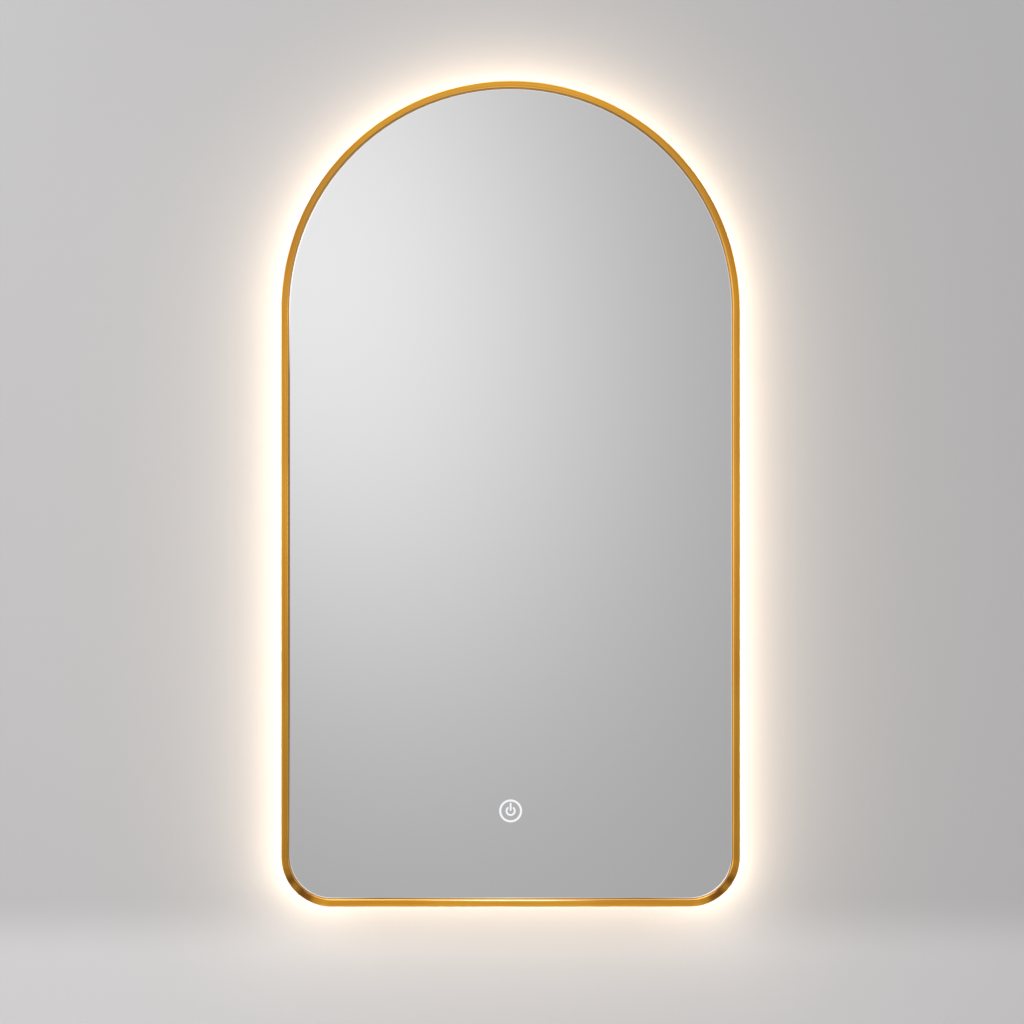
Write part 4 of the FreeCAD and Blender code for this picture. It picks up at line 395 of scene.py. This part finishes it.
def make_powder_coat():
    """White powder coat with its orange peel."""
    made = Shader("panel_white", specular_ior_level=0.45)
    cloud = made.noise(6, 3)
    made.set("Base Color", made.mix(cloud, rgb(0.76, 0.76, 0.745), rgb(0.84, 0.84, 0.83)))
    made.set("Roughness", made.between(made.noise(80, 2), 0.34, 0.46))
    made.bump(made.noise(520, 2), 0.05 * MM, 0.7)
    return made


def make_galvanised():
    """Hot-dip galvanised steel: large dull spangles of slightly different tone."""
    made = Shader("galvanised_steel", metallic=1.0)
    spangle = made.cells(150, output="Color")
    tone = made.node("SeparateColor", {"Color": spangle}).outputs["Red"]
    made.set("Base Color", made.mix(tone, rgb(0.52, 0.55, 0.58), rgb(0.74, 0.76, 0.78)))
    made.set("Roughness", made.between(tone, 0.34, 0.52))
    made.bump(made.noise(400, 3), 0.01 * MM)
    return made


def make_zinc():
    """Bright zinc plate, faintly yellow and blue in patches."""
    made = Shader("screw_steel", metallic=1.0)
    patches = made.noise(260, 2)
    made.set("Base Color", made.mix(patches, rgb(0.72, 0.7, 0.62), rgb(0.68, 0.72, 0.76)))
    made.set("Roughness", made.between(made.noise(900, 3), 0.2, 0.36))
    made.bump(made.noise(1500, 2), 0.01 * MM)
    return made


def make_foam():
    """Black foam tape with its open cells."""
    made = Shader("foam_tape", roughness=0.9)
    made.set("Base Color", made.mix(made.noise(700, 3), rgb(0.015, 0.015, 0.016), grey(0.05)))
    made.bump(made.cells(1500), 0.15 * MM)
    return made


def make_rubber():
    """Black rubber with a dull bloom."""
    made = Shader("bumper_rubber", specular_ior_level=0.35)
    bloom = made.noise(90, 4)
    made.set("Base Color", made.mix(bloom, rgb(0.012, 0.012, 0.013), rgb(0.035, 0.035, 0.036)))
    made.set("Roughness", made.between(bloom, 0.55, 0.8))
    made.bump(made.noise(1200, 3), 0.03 * MM)
    return made


def make_board():
    """Green solder mask over the copper's faint relief."""
    made = Shader("board_green")
    copper = made.cells(420, feature="F2")
    made.set("Base Color", made.mix(copper, rgb(0.008, 0.09, 0.03), rgb(0.02, 0.2, 0.07)))
    made.set("Roughness", made.between(made.noise(300, 2), 0.22, 0.38))
    made.bump(copper, 0.03 * MM)
    return made


def make_foil():
    """Heating foil: clear amber film over a fine carbon weave."""
    made = Shader("heating_foil")
    weave = made.node("TexWave", {"Vector": made.spread(), "Scale": 60.0}, bands_direction="Z")
    wave = weave.outputs["Fac"]
    made.set("Base Color", made.mix(wave, rgb(0.42, 0.22, 0.05), rgb(0.12, 0.07, 0.03)))
    made.set("Roughness", made.between(made.noise(120, 2), 0.25, 0.4))
    made.bump(wave, 0.05 * MM)
    return made


def make_sheath(name, colour, second=None):
    """A lead's sheath, with a stripe of the second colour if it has one."""
    made = Shader(name)
    streak = made.noise(300, 3, (1, 1, 0.1))
    body = made.mix(streak, shade(colour, 0.9), colour)
    if second:
        stripe = made.node("TexWave", {"Vector": made.spread(), "Scale": 110.0}, bands_direction="X")
        body = made.mix(made.math("GREATER_THAN", stripe.outputs["Fac"], 0.55), body, second)
    made.set("Base Color", body)
    made.set("Roughness", made.between(streak, 0.32, 0.45))
    made.bump(streak, 0.02 * MM)
    return made


def make_clear_guide():
    """Clear acrylic with a faint haze."""
    made = Shader("guide_clear", transmission_weight=0.85, ior=1.49)
    made.set("Base Color", made.mix(made.noise(200, 2), rgb(0.9, 0.93, 0.95), grey(1)))
    made.set("Roughness", made.between(made.noise(500, 2), 0.05, 0.16))
    return made


def make_phosphor():
    """The LEDs' yellow phosphor, lit."""
    made = Shader("led_phosphor", roughness=0.3, emission_strength=1.5)
    made.set("Base Color", made.mix(made.noise(900, 2), rgb(0.95, 0.7, 0.16), rgb(1.0, 0.84, 0.35)))
    made.set("Emission Color", made.mix(made.noise(500, 1), rgb(1.0, 0.78, 0.44), rgb(1.0, 0.84, 0.52)))
    return made


def make_finishes():
    """One material for each of the record's material slots."""
    return {
        "mirror_silver": make_mirror_silver(),
        "icon_white": make_icon_glow(),
        "brushed_gold": make_brushed_gold(),
        "box_aluminium": sheet_metal("box_aluminium", rgb(0.8, 0.8, 0.81), 0.34, (1, 0.05, 1)),
        "panel_white": make_powder_coat(),
        "galvanised_steel": make_galvanised(),
        "screw_steel": make_zinc(),
        "opal_glow": make_opal(),
        "strip_white": moulded("strip_white", rgb(0.86, 0.86, 0.82), 0.35, 400),
        "led_phosphor": make_phosphor(),
        "foam_tape": make_foam(),
        "bumper_rubber": make_rubber(),
        "abs_white": moulded("abs_white", rgb(0.8, 0.8, 0.78), 0.5),
        "abs_grey": moulded("abs_grey", rgb(0.11, 0.115, 0.12), 0.5),
        "driver_white": moulded("driver_white", rgb(0.72, 0.72, 0.69), 0.42, 1300),
        "button_orange": moulded("button_orange", rgb(0.75, 0.12, 0.01), 0.32, 1600),
        "tinned_brass": sheet_metal("tinned_brass", rgb(0.75, 0.66, 0.42), 0.3),
        "board_green": make_board(),
        "component_black": moulded("component_black", rgb(0.014, 0.014, 0.015), 0.45, 1400),
        "ferrite_yellow": moulded("ferrite_yellow", rgb(0.62, 0.42, 0.03), 0.4, 700),
        "guide_clear": make_clear_guide(),
        "wire_brown": make_sheath("wire_brown", rgb(0.1, 0.03, 0.012)),
        "wire_green": make_sheath("wire_green", rgb(0.02, 0.22, 0.03), rgb(0.75, 0.6, 0.02)),
        "wire_white": make_sheath("wire_white", rgb(0.76, 0.76, 0.74)),
        "heating_foil": make_foil(),
    }


def paint_nodes(finishes):
    """Gives every CAD node the material of its slot."""
    for part in frame["record"]["subparts"]:
        mesh = frame["nodes"][part["node"]].data
        mesh.materials.clear()
        mesh.materials.append(finishes[part["material_slot"]].material)


# -----------------------------------------------------------------------------------------------------
# The frame, swept round the outline with its small roundings

# The channel's section: inset and depth of each corner, the radius of its rounding and the arc's steps
SECTION_CORNERS = (
    (0, 20, 0.2, 3),
    (0, 42, 1.1, 7),
    (6.8, 42, 0.9, 5),
    (8, 40.8, 0.3, 3),
    (8, 32, 0.15, 2),
    (14, 32, 0.2, 2),
    (14, 30.5, 0.2, 2),
    (8, 30.5, 0.15, 2),
    (8, 20, 0.2, 3),
    (6.5, 20, 0.2, 3),
    (6.5, 40, 0.3, 2),
    (1.5, 40, 0.3, 2),
    (1.5, 20, 0.2, 3),
)
ARCH_STEPS = 160
CORNER_STEPS = 28
SIDE_STEPS = 10
# Faces that meet at a larger angle, in degrees, keep a sharp edge between them
SHARP_FROM = 35


def outward(angle):
    """The direction in the mirror's plane at that angle in degrees."""
    return Vector((math.cos(math.radians(angle)), 0, math.sin(math.radians(angle))))


def outline_stations():
    """Points of the outer outline with their outward directions, from the seam round and back to it."""
    side = ARCH_RADIUS - CORNER_RADIUS
    low = FRAME_LOW.z
    turn = low + CORNER_RADIUS
    top = ARCH_CENTRE.z
    stations = [(Vector((SEAM / 2, 0, low)), Vector((0, 0, -1)))]

    def arc(centre, radius, start, end, steps):
        for step in range(steps + 1):
            out = outward(start + (end - start) * step / steps)
            stations.append((centre + radius * out, out))

    def straight(x, start, end, out):
        for step in range(1, SIDE_STEPS):
            stations.append((Vector((x, 0, start + (end - start) * step / SIDE_STEPS)), out))

    arc(Vector((side, 0, turn)), CORNER_RADIUS, -90, 0, CORNER_STEPS)
    straight(ARCH_RADIUS, turn, top, Vector((1, 0, 0)))
    arc(ARCH_CENTRE, ARCH_RADIUS, 0, 180, ARCH_STEPS)
    straight(-ARCH_RADIUS, top, turn, Vector((-1, 0, 0)))
    arc(Vector((-side, 0, turn)), CORNER_RADIUS, 180, 270, CORNER_STEPS)
    stations.append((Vector((-SEAM / 2, 0, low)), Vector((0, 0, -1))))
    return stations


def rounded_corner(before, corner, after, radius, steps):
    """The corner of a section replaced by an arc of that radius."""
    back = (before - corner).normalized()
    ahead = (after - corner).normalized()
    half = back.angle(ahead) / 2
    reach = radius / math.tan(half)
    centre = corner + (back + ahead).normalized() * (radius / math.sin(half))
    start = corner + back * reach - centre
    end = corner + ahead * reach - centre
    sweep = start.angle(end)
    points = []
    for step in range(steps + 1):
        share = step / steps
        first = math.sin((1 - share) * sweep) / math.sin(sweep)
        second = math.sin(share * sweep) / math.sin(sweep)
        points.append(centre + start * first + end * second)
    return points


def frame_section():
    """The channel's section in metres: side walls, front, glass ledge and hollow rear."""
    spots = [Vector((inset, depth)) * MM for inset, depth, _, _ in SECTION_CORNERS]
    section = []
    for number, (_, _, radius, steps) in enumerate(SECTION_CORNERS):
        after = spots[(number + 1) % len(spots)]
        section += rounded_corner(spots[number - 1], spots[number], after, radius * MM, steps)
    return section


def section_girth(section):
    """How far round the section each of its points lies, and the whole way round."""
    girth = [0.0]
    for before, after in zip(section, [*section[1:], section[0]]):
        girth.append(girth[-1] + (after - before).length)
    return girth


def swept_mesh(name, stations, section):
    """The section swept along the stations, with its two ends closed."""
    width = len(section)
    points = []
    for point, out in stations:
        points += [point - out * spot.x + Vector((0, -spot.y, 0)) for spot in section]
    faces = []
    for row in range(len(stations) - 1):
        for column in range(width):
            follow = (column + 1) % width
            low = row * width
            high = low + width
            faces.append((low + column, low + follow, high + follow, high + column))
    last = (len(stations) - 1) * width
    faces.append(tuple(reversed(range(width))))
    faces.append(tuple(range(last, last + width)))
    mesh = bpy.data.meshes.new(name)
    mesh.from_pydata(points, [], faces)
    return mesh


def add_grain_map(mesh, stations, section):
    """The map "grain": distance from the seam and distance round the section."""
    travel = [0.0]
    for before, after in zip(stations, stations[1:]):
        travel.append(travel[-1] + (after[0] - before[0]).length)
    from_seam = [min(way, travel[-1] - way) for way in travel]
    girth = section_girth(section)
    width = len(section)
    grain = mesh.uv_layers.new(name="grain")
    for row in range(len(stations) - 1):
        for column in range(width):
            start = (row * width + column) * 4
            ends = ((row, column), (row, column + 1), (row + 1, column + 1), (row + 1, column))
            for corner, (along, across) in enumerate(ends):
                grain.data[start + corner].uv = (from_seam[along], girth[across])


def make_frame_piece(finishes):
    """The brushed frame, in place of the CAD channel."""
    section = frame_section()
    stations = outline_stations()
    mesh = swept_mesh("gold_frame", stations, section)
    add_grain_map(mesh, stations, section)
    mesh.validate()
    piece = bpy.data.objects.new("gold_frame", mesh)
    bpy.context.scene.collection.objects.link(piece)
    for face in mesh.polygons:
        face.use_smooth = len(face.vertices) == 4
    mesh.set_sharp_from_angle(angle=math.radians(SHARP_FROM))
    mesh.materials.append(finishes["brushed_gold"].material)
    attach(piece, "mirror")
    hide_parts("frame_channel")
    return piece


# -----------------------------------------------------------------------------------------------------
# Stage, light and camera

FLOOR_LEVEL = -0.95
WALL_AT = 0.0004
WALL_TOP = 3.2
COVE_RADIUS = 0.08
COVE_STEPS = 16
# Painted shade: the cove's paint is darker where it turns up to the light
COVE_SHADE_SHARE = 0.75
STAGE_REACH = 5.0
# Rays shorter than this pass through the stage
CLEAR_WITHIN = 0.02
# The wall is paler below the mirror's foot, as the photograph's floor is
# Painted light: the paler paint stands in for the lit floor below the mirror's foot
PALE_FROM = -0.672
PALE_BELOW = -0.745
WALL_PAINT = 0.478
PALE_PAINTED_LIGHT = 0.6
PAINT_TINT = {"Red": 1.0, "Green": 0.992, "Blue": 0.996}


def stage_mesh(name, points, faces, shader):
    mesh = bpy.data.meshes.new(name)
    mesh.from_pydata(points, [], faces)
    mesh.materials.append(shader.material)
    for face in mesh.polygons:
        face.use_smooth = True
    item = bpy.data.objects.new(name, mesh)
    bpy.context.scene.collection.objects.link(item)
    return item


def one_sided(shader):
    """Makes the stage clear from its back, and for rays that start right at it."""
    output = next(node for node in shader.tree.nodes if node.type == "OUTPUT_MATERIAL")
    back = shader.node("NewGeometry").outputs["Backfacing"]
    close = shader.math("LESS_THAN", shader.node("LightPath").outputs["Ray Length"], CLEAR_WITHIN)
    clear = shader.node("BsdfTransparent").outputs["BSDF"]
    hidden = shader.math("MAXIMUM", back, close)
    mixed = shader.node("MixShader", {0: hidden, 1: shader.bsdf.outputs["BSDF"], 2: clear})
    shader.feed(output.inputs["Surface"], mixed.outputs["Shader"])


def make_wall():
    """A plain painted wall that curves into the floor, with painted light below the mirror's foot and
    painted shade in the cove.
    """
    paint = Shader("studio_wall", roughness=0.85)
    height = paint.node("SeparateXYZ", {"Vector": paint.coords.outputs["Object"]}).outputs["Z"]
    # Painted light below the mirror's foot
    tone = paint.between(height, PALE_PAINTED_LIGHT, WALL_PAINT, PALE_BELOW, PALE_FROM, "SMOOTHSTEP")
    # Painted shade in the cove, where it turns up to the light
    cove_painted_shade = paint.between(height, COVE_SHADE_SHARE, 1.0, FLOOR_LEVEL, FLOOR_LEVEL + COVE_RADIUS)
    tone = paint.math("MULTIPLY", tone, cove_painted_shade)
    cloud = paint.math("MULTIPLY", tone, paint.between(paint.noise(1.6, 3), 0.985, 1.015))
    channels = {name: paint.math("MULTIPLY", cloud, share) for name, share in PAINT_TINT.items()}
    paint.set("Base Color", paint.node("CombineColor", channels).outputs["Color"])
    paint.bump(paint.noise(500, 2), 0.02 * MM)
    one_sided(paint)
    profile = [(WALL_AT, WALL_TOP)]
    for step in range(COVE_STEPS + 1):
        angle = math.radians(90 * step / COVE_STEPS)
        reach = COVE_RADIUS * (1 - math.cos(angle))
        rise = COVE_RADIUS * (1 - math.sin(angle))
        profile.append((WALL_AT - reach, FLOOR_LEVEL + rise))
    points = [(x, y, z) for y, z in profile for x in (-STAGE_REACH, STAGE_REACH)]
    faces = [(2 * row, 2 * row + 2, 2 * row + 3, 2 * row + 1) for row in range(len(profile) - 1)]
    wall = stage_mesh("studio_wall", points, faces, paint)
    wall.visible_shadow = False
    wall.visible_diffuse = False
    return wall


def make_floor():
    """The floor below the picture, which neither reflections nor shadows show."""
    ground = Shader("studio_floor", specular_ior_level=0.3)
    tone = ground.noise(1.3, 3)
    ground.set("Base Color", ground.mix(tone, rgb(0.6, 0.595, 0.6), rgb(0.62, 0.615, 0.62)))
    ground.set("Roughness", ground.between(tone, 0.42, 0.5))
    one_sided(ground)
    corners = ((-1, -1), (1, -1), (1, 1), (-1, 1))
    points = [(x * STAGE_REACH, y * STAGE_REACH, FLOOR_LEVEL) for x, y in corners]
    floor = stage_mesh("studio_floor", points, [(0, 1, 2, 3)], ground)
    floor.visible_glossy = False
    floor.visible_shadow = False
    return floor


# The soft bright field behind the camera: its centre and size as slopes from the mirror, tilt and light
FIELD_CENTRE = (-0.0856, 0.1057)
FIELD_NARROW = 0.0917
FIELD_TALL = 0.137
FIELD_TILT = 0.331
FIELD_STRENGTH = 0.492
AMBIENT = 0.373
# The least share of a direction that still points back at the field
LEAST_AHEAD = 0.02
STUDIO_TINT = {"Red": 1.0, "Green": 0.992, "Blue": 0.998}
# Soft panels round the studio, and the dark flags between them: direction, spread and light
PANELS = (
    ((-0.83, -0.55, 0.08), 0.2, 1.9),
    ((-0.97, 0.1, 0.1), 0.3, 0.9),
    ((0.85, -0.52, 0.08), 0.2, 1.2),
    ((0.2, -0.68, 0.7), 0.2, 2.0),
    ((0.1, -0.1, 0.99), 0.32, 1.0),
    ((0.0, -0.75, -0.66), 0.18, 1.3),
    ((-0.6, -0.66, 0.45), 0.12, -0.3),
    ((0.98, -0.05, -0.1), 0.3, -0.2),
    ((0.0, -0.1, -0.99), 0.35, -0.2),
    ((-0.45, -0.7, -0.55), 0.16, -0.3),
    ((0.45, -0.7, -0.55), 0.16, -0.3),
)


def make_world():
    """Even studio surroundings with soft panels, and a soft field behind the camera at the upper left."""
    world = bpy.data.worlds.new("studio")
    world.use_nodes = True
    bpy.context.scene.world = world
    sky = Nodes(world.node_tree)

    def squared(value):
        return sky.math("MULTIPLY", value, value)

    def bell(square, rate):
        """A bell curve of a squared distance."""
        return sky.math("EXPONENT", sky.math("MULTIPLY", square, rate))

    heading = sky.node("TexCoord").outputs["Generated"]
    direction = sky.node("SeparateXYZ", {"Vector": heading})
    ahead = sky.math("MAXIMUM", sky.math("MULTIPLY", direction.outputs["Y"], -1.0), LEAST_AHEAD)
    across_slope = sky.math("DIVIDE", direction.outputs["X"], ahead)
    above_slope = sky.math("DIVIDE", direction.outputs["Z"], ahead)
    across = sky.math("SUBTRACT", across_slope, FIELD_CENTRE[0])
    above = sky.math("SUBTRACT", above_slope, FIELD_CENTRE[1])
    cosine = math.cos(FIELD_TILT)
    sine = math.sin(FIELD_TILT)
    narrow = sky.math("ADD", sky.math("MULTIPLY", across, cosine), sky.math("MULTIPLY", above, sine))
    tall = sky.math("SUBTRACT", sky.math("MULTIPLY", above, cosine), sky.math("MULTIPLY", across, sine))
    narrow = sky.math("DIVIDE", narrow, FIELD_NARROW)
    tall = sky.math("DIVIDE", tall, FIELD_TALL)
    field = bell(sky.math("ADD", squared(narrow), squared(tall)), -0.5)
    light = sky.math("MULTIPLY_ADD", field, FIELD_STRENGTH, AMBIENT)
    for middle, size, strength in PANELS:
        away = sky.node("VectorMath", {0: heading, 1: middle}, operation="DISTANCE").outputs["Value"]
        light = sky.math("MULTIPLY_ADD", bell(squared(away), -0.5 / size**2), strength, light)
    tint = {name: sky.math("MULTIPLY", light, share) for name, share in STUDIO_TINT.items()}
    background = sky.tree.nodes["Background"]
    sky.feed(background.inputs["Color"], sky.node("CombineColor", tint).outputs["Color"])


def area_light(name, place, size, power, aim, shape="SQUARE"):
    """A soft light that neither the camera nor a reflection shows."""
    data = bpy.data.lights.new(name, "AREA")
    data.shape = shape
    data.size = size[0]
    if shape == "RECTANGLE":
        data.size_y = size[1]
    data.energy = power
    light = bpy.data.objects.new(name, data)
    bpy.context.scene.collection.objects.link(light)
    light.location = place
    light.rotation_euler = (Vector(aim) - Vector(place)).to_track_quat("-Z", "Y").to_euler()
    light.visible_camera = False
    light.visible_glossy = False
    return light


def only_for(light, name, receivers):
    """Lets a light reach only these objects."""
    group = bpy.data.collections.get(name) or bpy.data.collections.new(name)
    for receiver in receivers:
        if receiver.name not in group.objects:
            group.objects.link(receiver)
    light.light_linking.receiver_collection = group


# The studio's lights: place, size and power
STUDIO_LIGHTS = {
    "wash": ((-2.2, -1.6, 0.9), 1.0, 42),
    "key": ((-1.6, -1.9, 0.9), 1.0, 25),
    "rear": ((-1.4, 2.2, 1.0), 1.5, 36),
    "rear_side": ((1.8, 1.5, 0.2), 1.5, 14),
}
# Softboxes that only the frame shows: place, width, height and light
SOFTBOXES = {
    "over_foot": ((0.01, -0.36, -0.29), 0.1, 0.26, 2.4),
    "over_arch": ((-0.745, -0.41, 1.56), 1.4, 1.4, 3.5),
    "right": ((1.8, -0.8, 0.35), 0.4, 0.4, 3.5),
    "front": ((-0.3, -3.6, 0.2), 1.8, 1.4, 0.22),
}


def make_softboxes(gold_frame):
    """The one over the foot is aimed at the foot, the others at the arch's centre."""
    for name, (place, width, height, glow) in SOFTBOXES.items():
        aim = (0, 0, FRAME_LOW.z) if name == "over_foot" else ARCH_CENTRE
        power = glow * math.pi * width * height
        softbox = area_light(f"softbox_{name}", place, (width, height), power, aim, "RECTANGLE")
        softbox.visible_glossy = True
        only_for(softbox, "frame", [gold_frame])


def make_studio_light(pieces, stage):
    """The wash lights the stage only, without shadows; the key and the rear lights only the object."""
    for name, (place, size, power) in STUDIO_LIGHTS.items():
        light = area_light(name, place, (size,), power, (0, 0, MIDDLE))
        if name == "wash":
            light.data.use_shadow = False
            only_for(light, "stage", stage)
        else:
            only_for(light, "object", pieces)


# The lamp's light: how far its band lies inside the outline and off the wall, its width, brightness and
# colour, and how much more or less of it leaves the foot, the corners and the arch
BAND_INSET = 38 * MM
BAND_DEPTH = 16.7 * MM
BAND_WIDTH = 11 * MM
BAND_LIGHT = 53.0
BAND_COLOUR = (1.0, 0.85, 0.67)
FOOT_SHARE = 0.66
CORNER_SHARE = 3.6
ARCH_SHARE = 1.13
BAND_ARCH_STEPS = 30
BAND_CORNER_STEPS = 4


def make_lamp_light(stage):
    """Narrow lights along the opal band, facing outward, that throw the halo on the wall and floor."""
    side = ARCH_RADIUS - CORNER_RADIUS
    turn = FRAME_LOW.z + CORNER_RADIUS
    straight = ARCH_CENTRE.z - FRAME_LOW.z - CORNER_RADIUS
    reach = ARCH_RADIUS - BAND_INSET
    bend = CORNER_RADIUS - BAND_INSET
    runs = [
        (Vector((0, 0, FRAME_LOW.z + BAND_INSET)), -90, 2 * side, FOOT_SHARE),
        (Vector((reach, 0, turn + straight / 2)), 0, straight, 1.0),
        (Vector((-reach, 0, turn + straight / 2)), 180, straight, 1.0),
    ]

    def arc(centre, radius, start, end, steps, share):
        step = (end - start) / steps
        for number in range(steps):
            angle = start + step * (number + 0.5)
            runs.append((centre + radius * outward(angle), angle, radius * math.radians(step), share))

    arc(ARCH_CENTRE, reach, 0, 180, BAND_ARCH_STEPS, ARCH_SHARE)
    arc(Vector((side, 0, turn)), bend, -90, 0, BAND_CORNER_STEPS, CORNER_SHARE)
    arc(Vector((-side, 0, turn)), bend, 180, 270, BAND_CORNER_STEPS, CORNER_SHARE)
    for number, (middle, angle, length, share) in enumerate(runs):
        out = outward(angle)
        place = middle + Vector((0, -BAND_DEPTH, 0)) + out * MM
        power = share * BAND_LIGHT * math.pi * length * BAND_WIDTH
        size = (length, BAND_WIDTH)
        light = area_light(f"lamp_{number}", place, size, power, place + out, "RECTANGLE")
        along = Vector((-out.z, 0, out.x))
        light.rotation_euler = Matrix((along, Vector((0, 1, 0)), -out)).transposed().to_euler()
        light.data.color = BAND_COLOUR
        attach(light, "mirror")
        only_for(light, "stage", stage)


def make_camera():
    data = bpy.data.cameras.new("camera")
    data.lens = LENS
    data.clip_start = CLIP_START
    data.clip_end = CLIP_END
    camera = bpy.data.objects.new("camera", data)
    bpy.context.scene.collection.objects.link(camera)
    camera.location = CAMERA
    camera.rotation_euler = (math.pi / 2, 0, 0)
    bpy.context.scene.camera = camera


def main():
    make_camera()
    finishes = make_finishes()
    paint_nodes(finishes)
    gold_frame = make_frame_piece(finishes)
    stage = [make_wall(), make_floor()]
    make_world()
    pieces = [*frame["nodes"].values(), gold_frame]
    make_studio_light(pieces, stage)
    make_softboxes(gold_frame)
    make_lamp_light(stage)
    bpy.context.scene.view_settings.view_transform = "Standard"
    bpy.context.scene.view_settings.look = "None"


main()
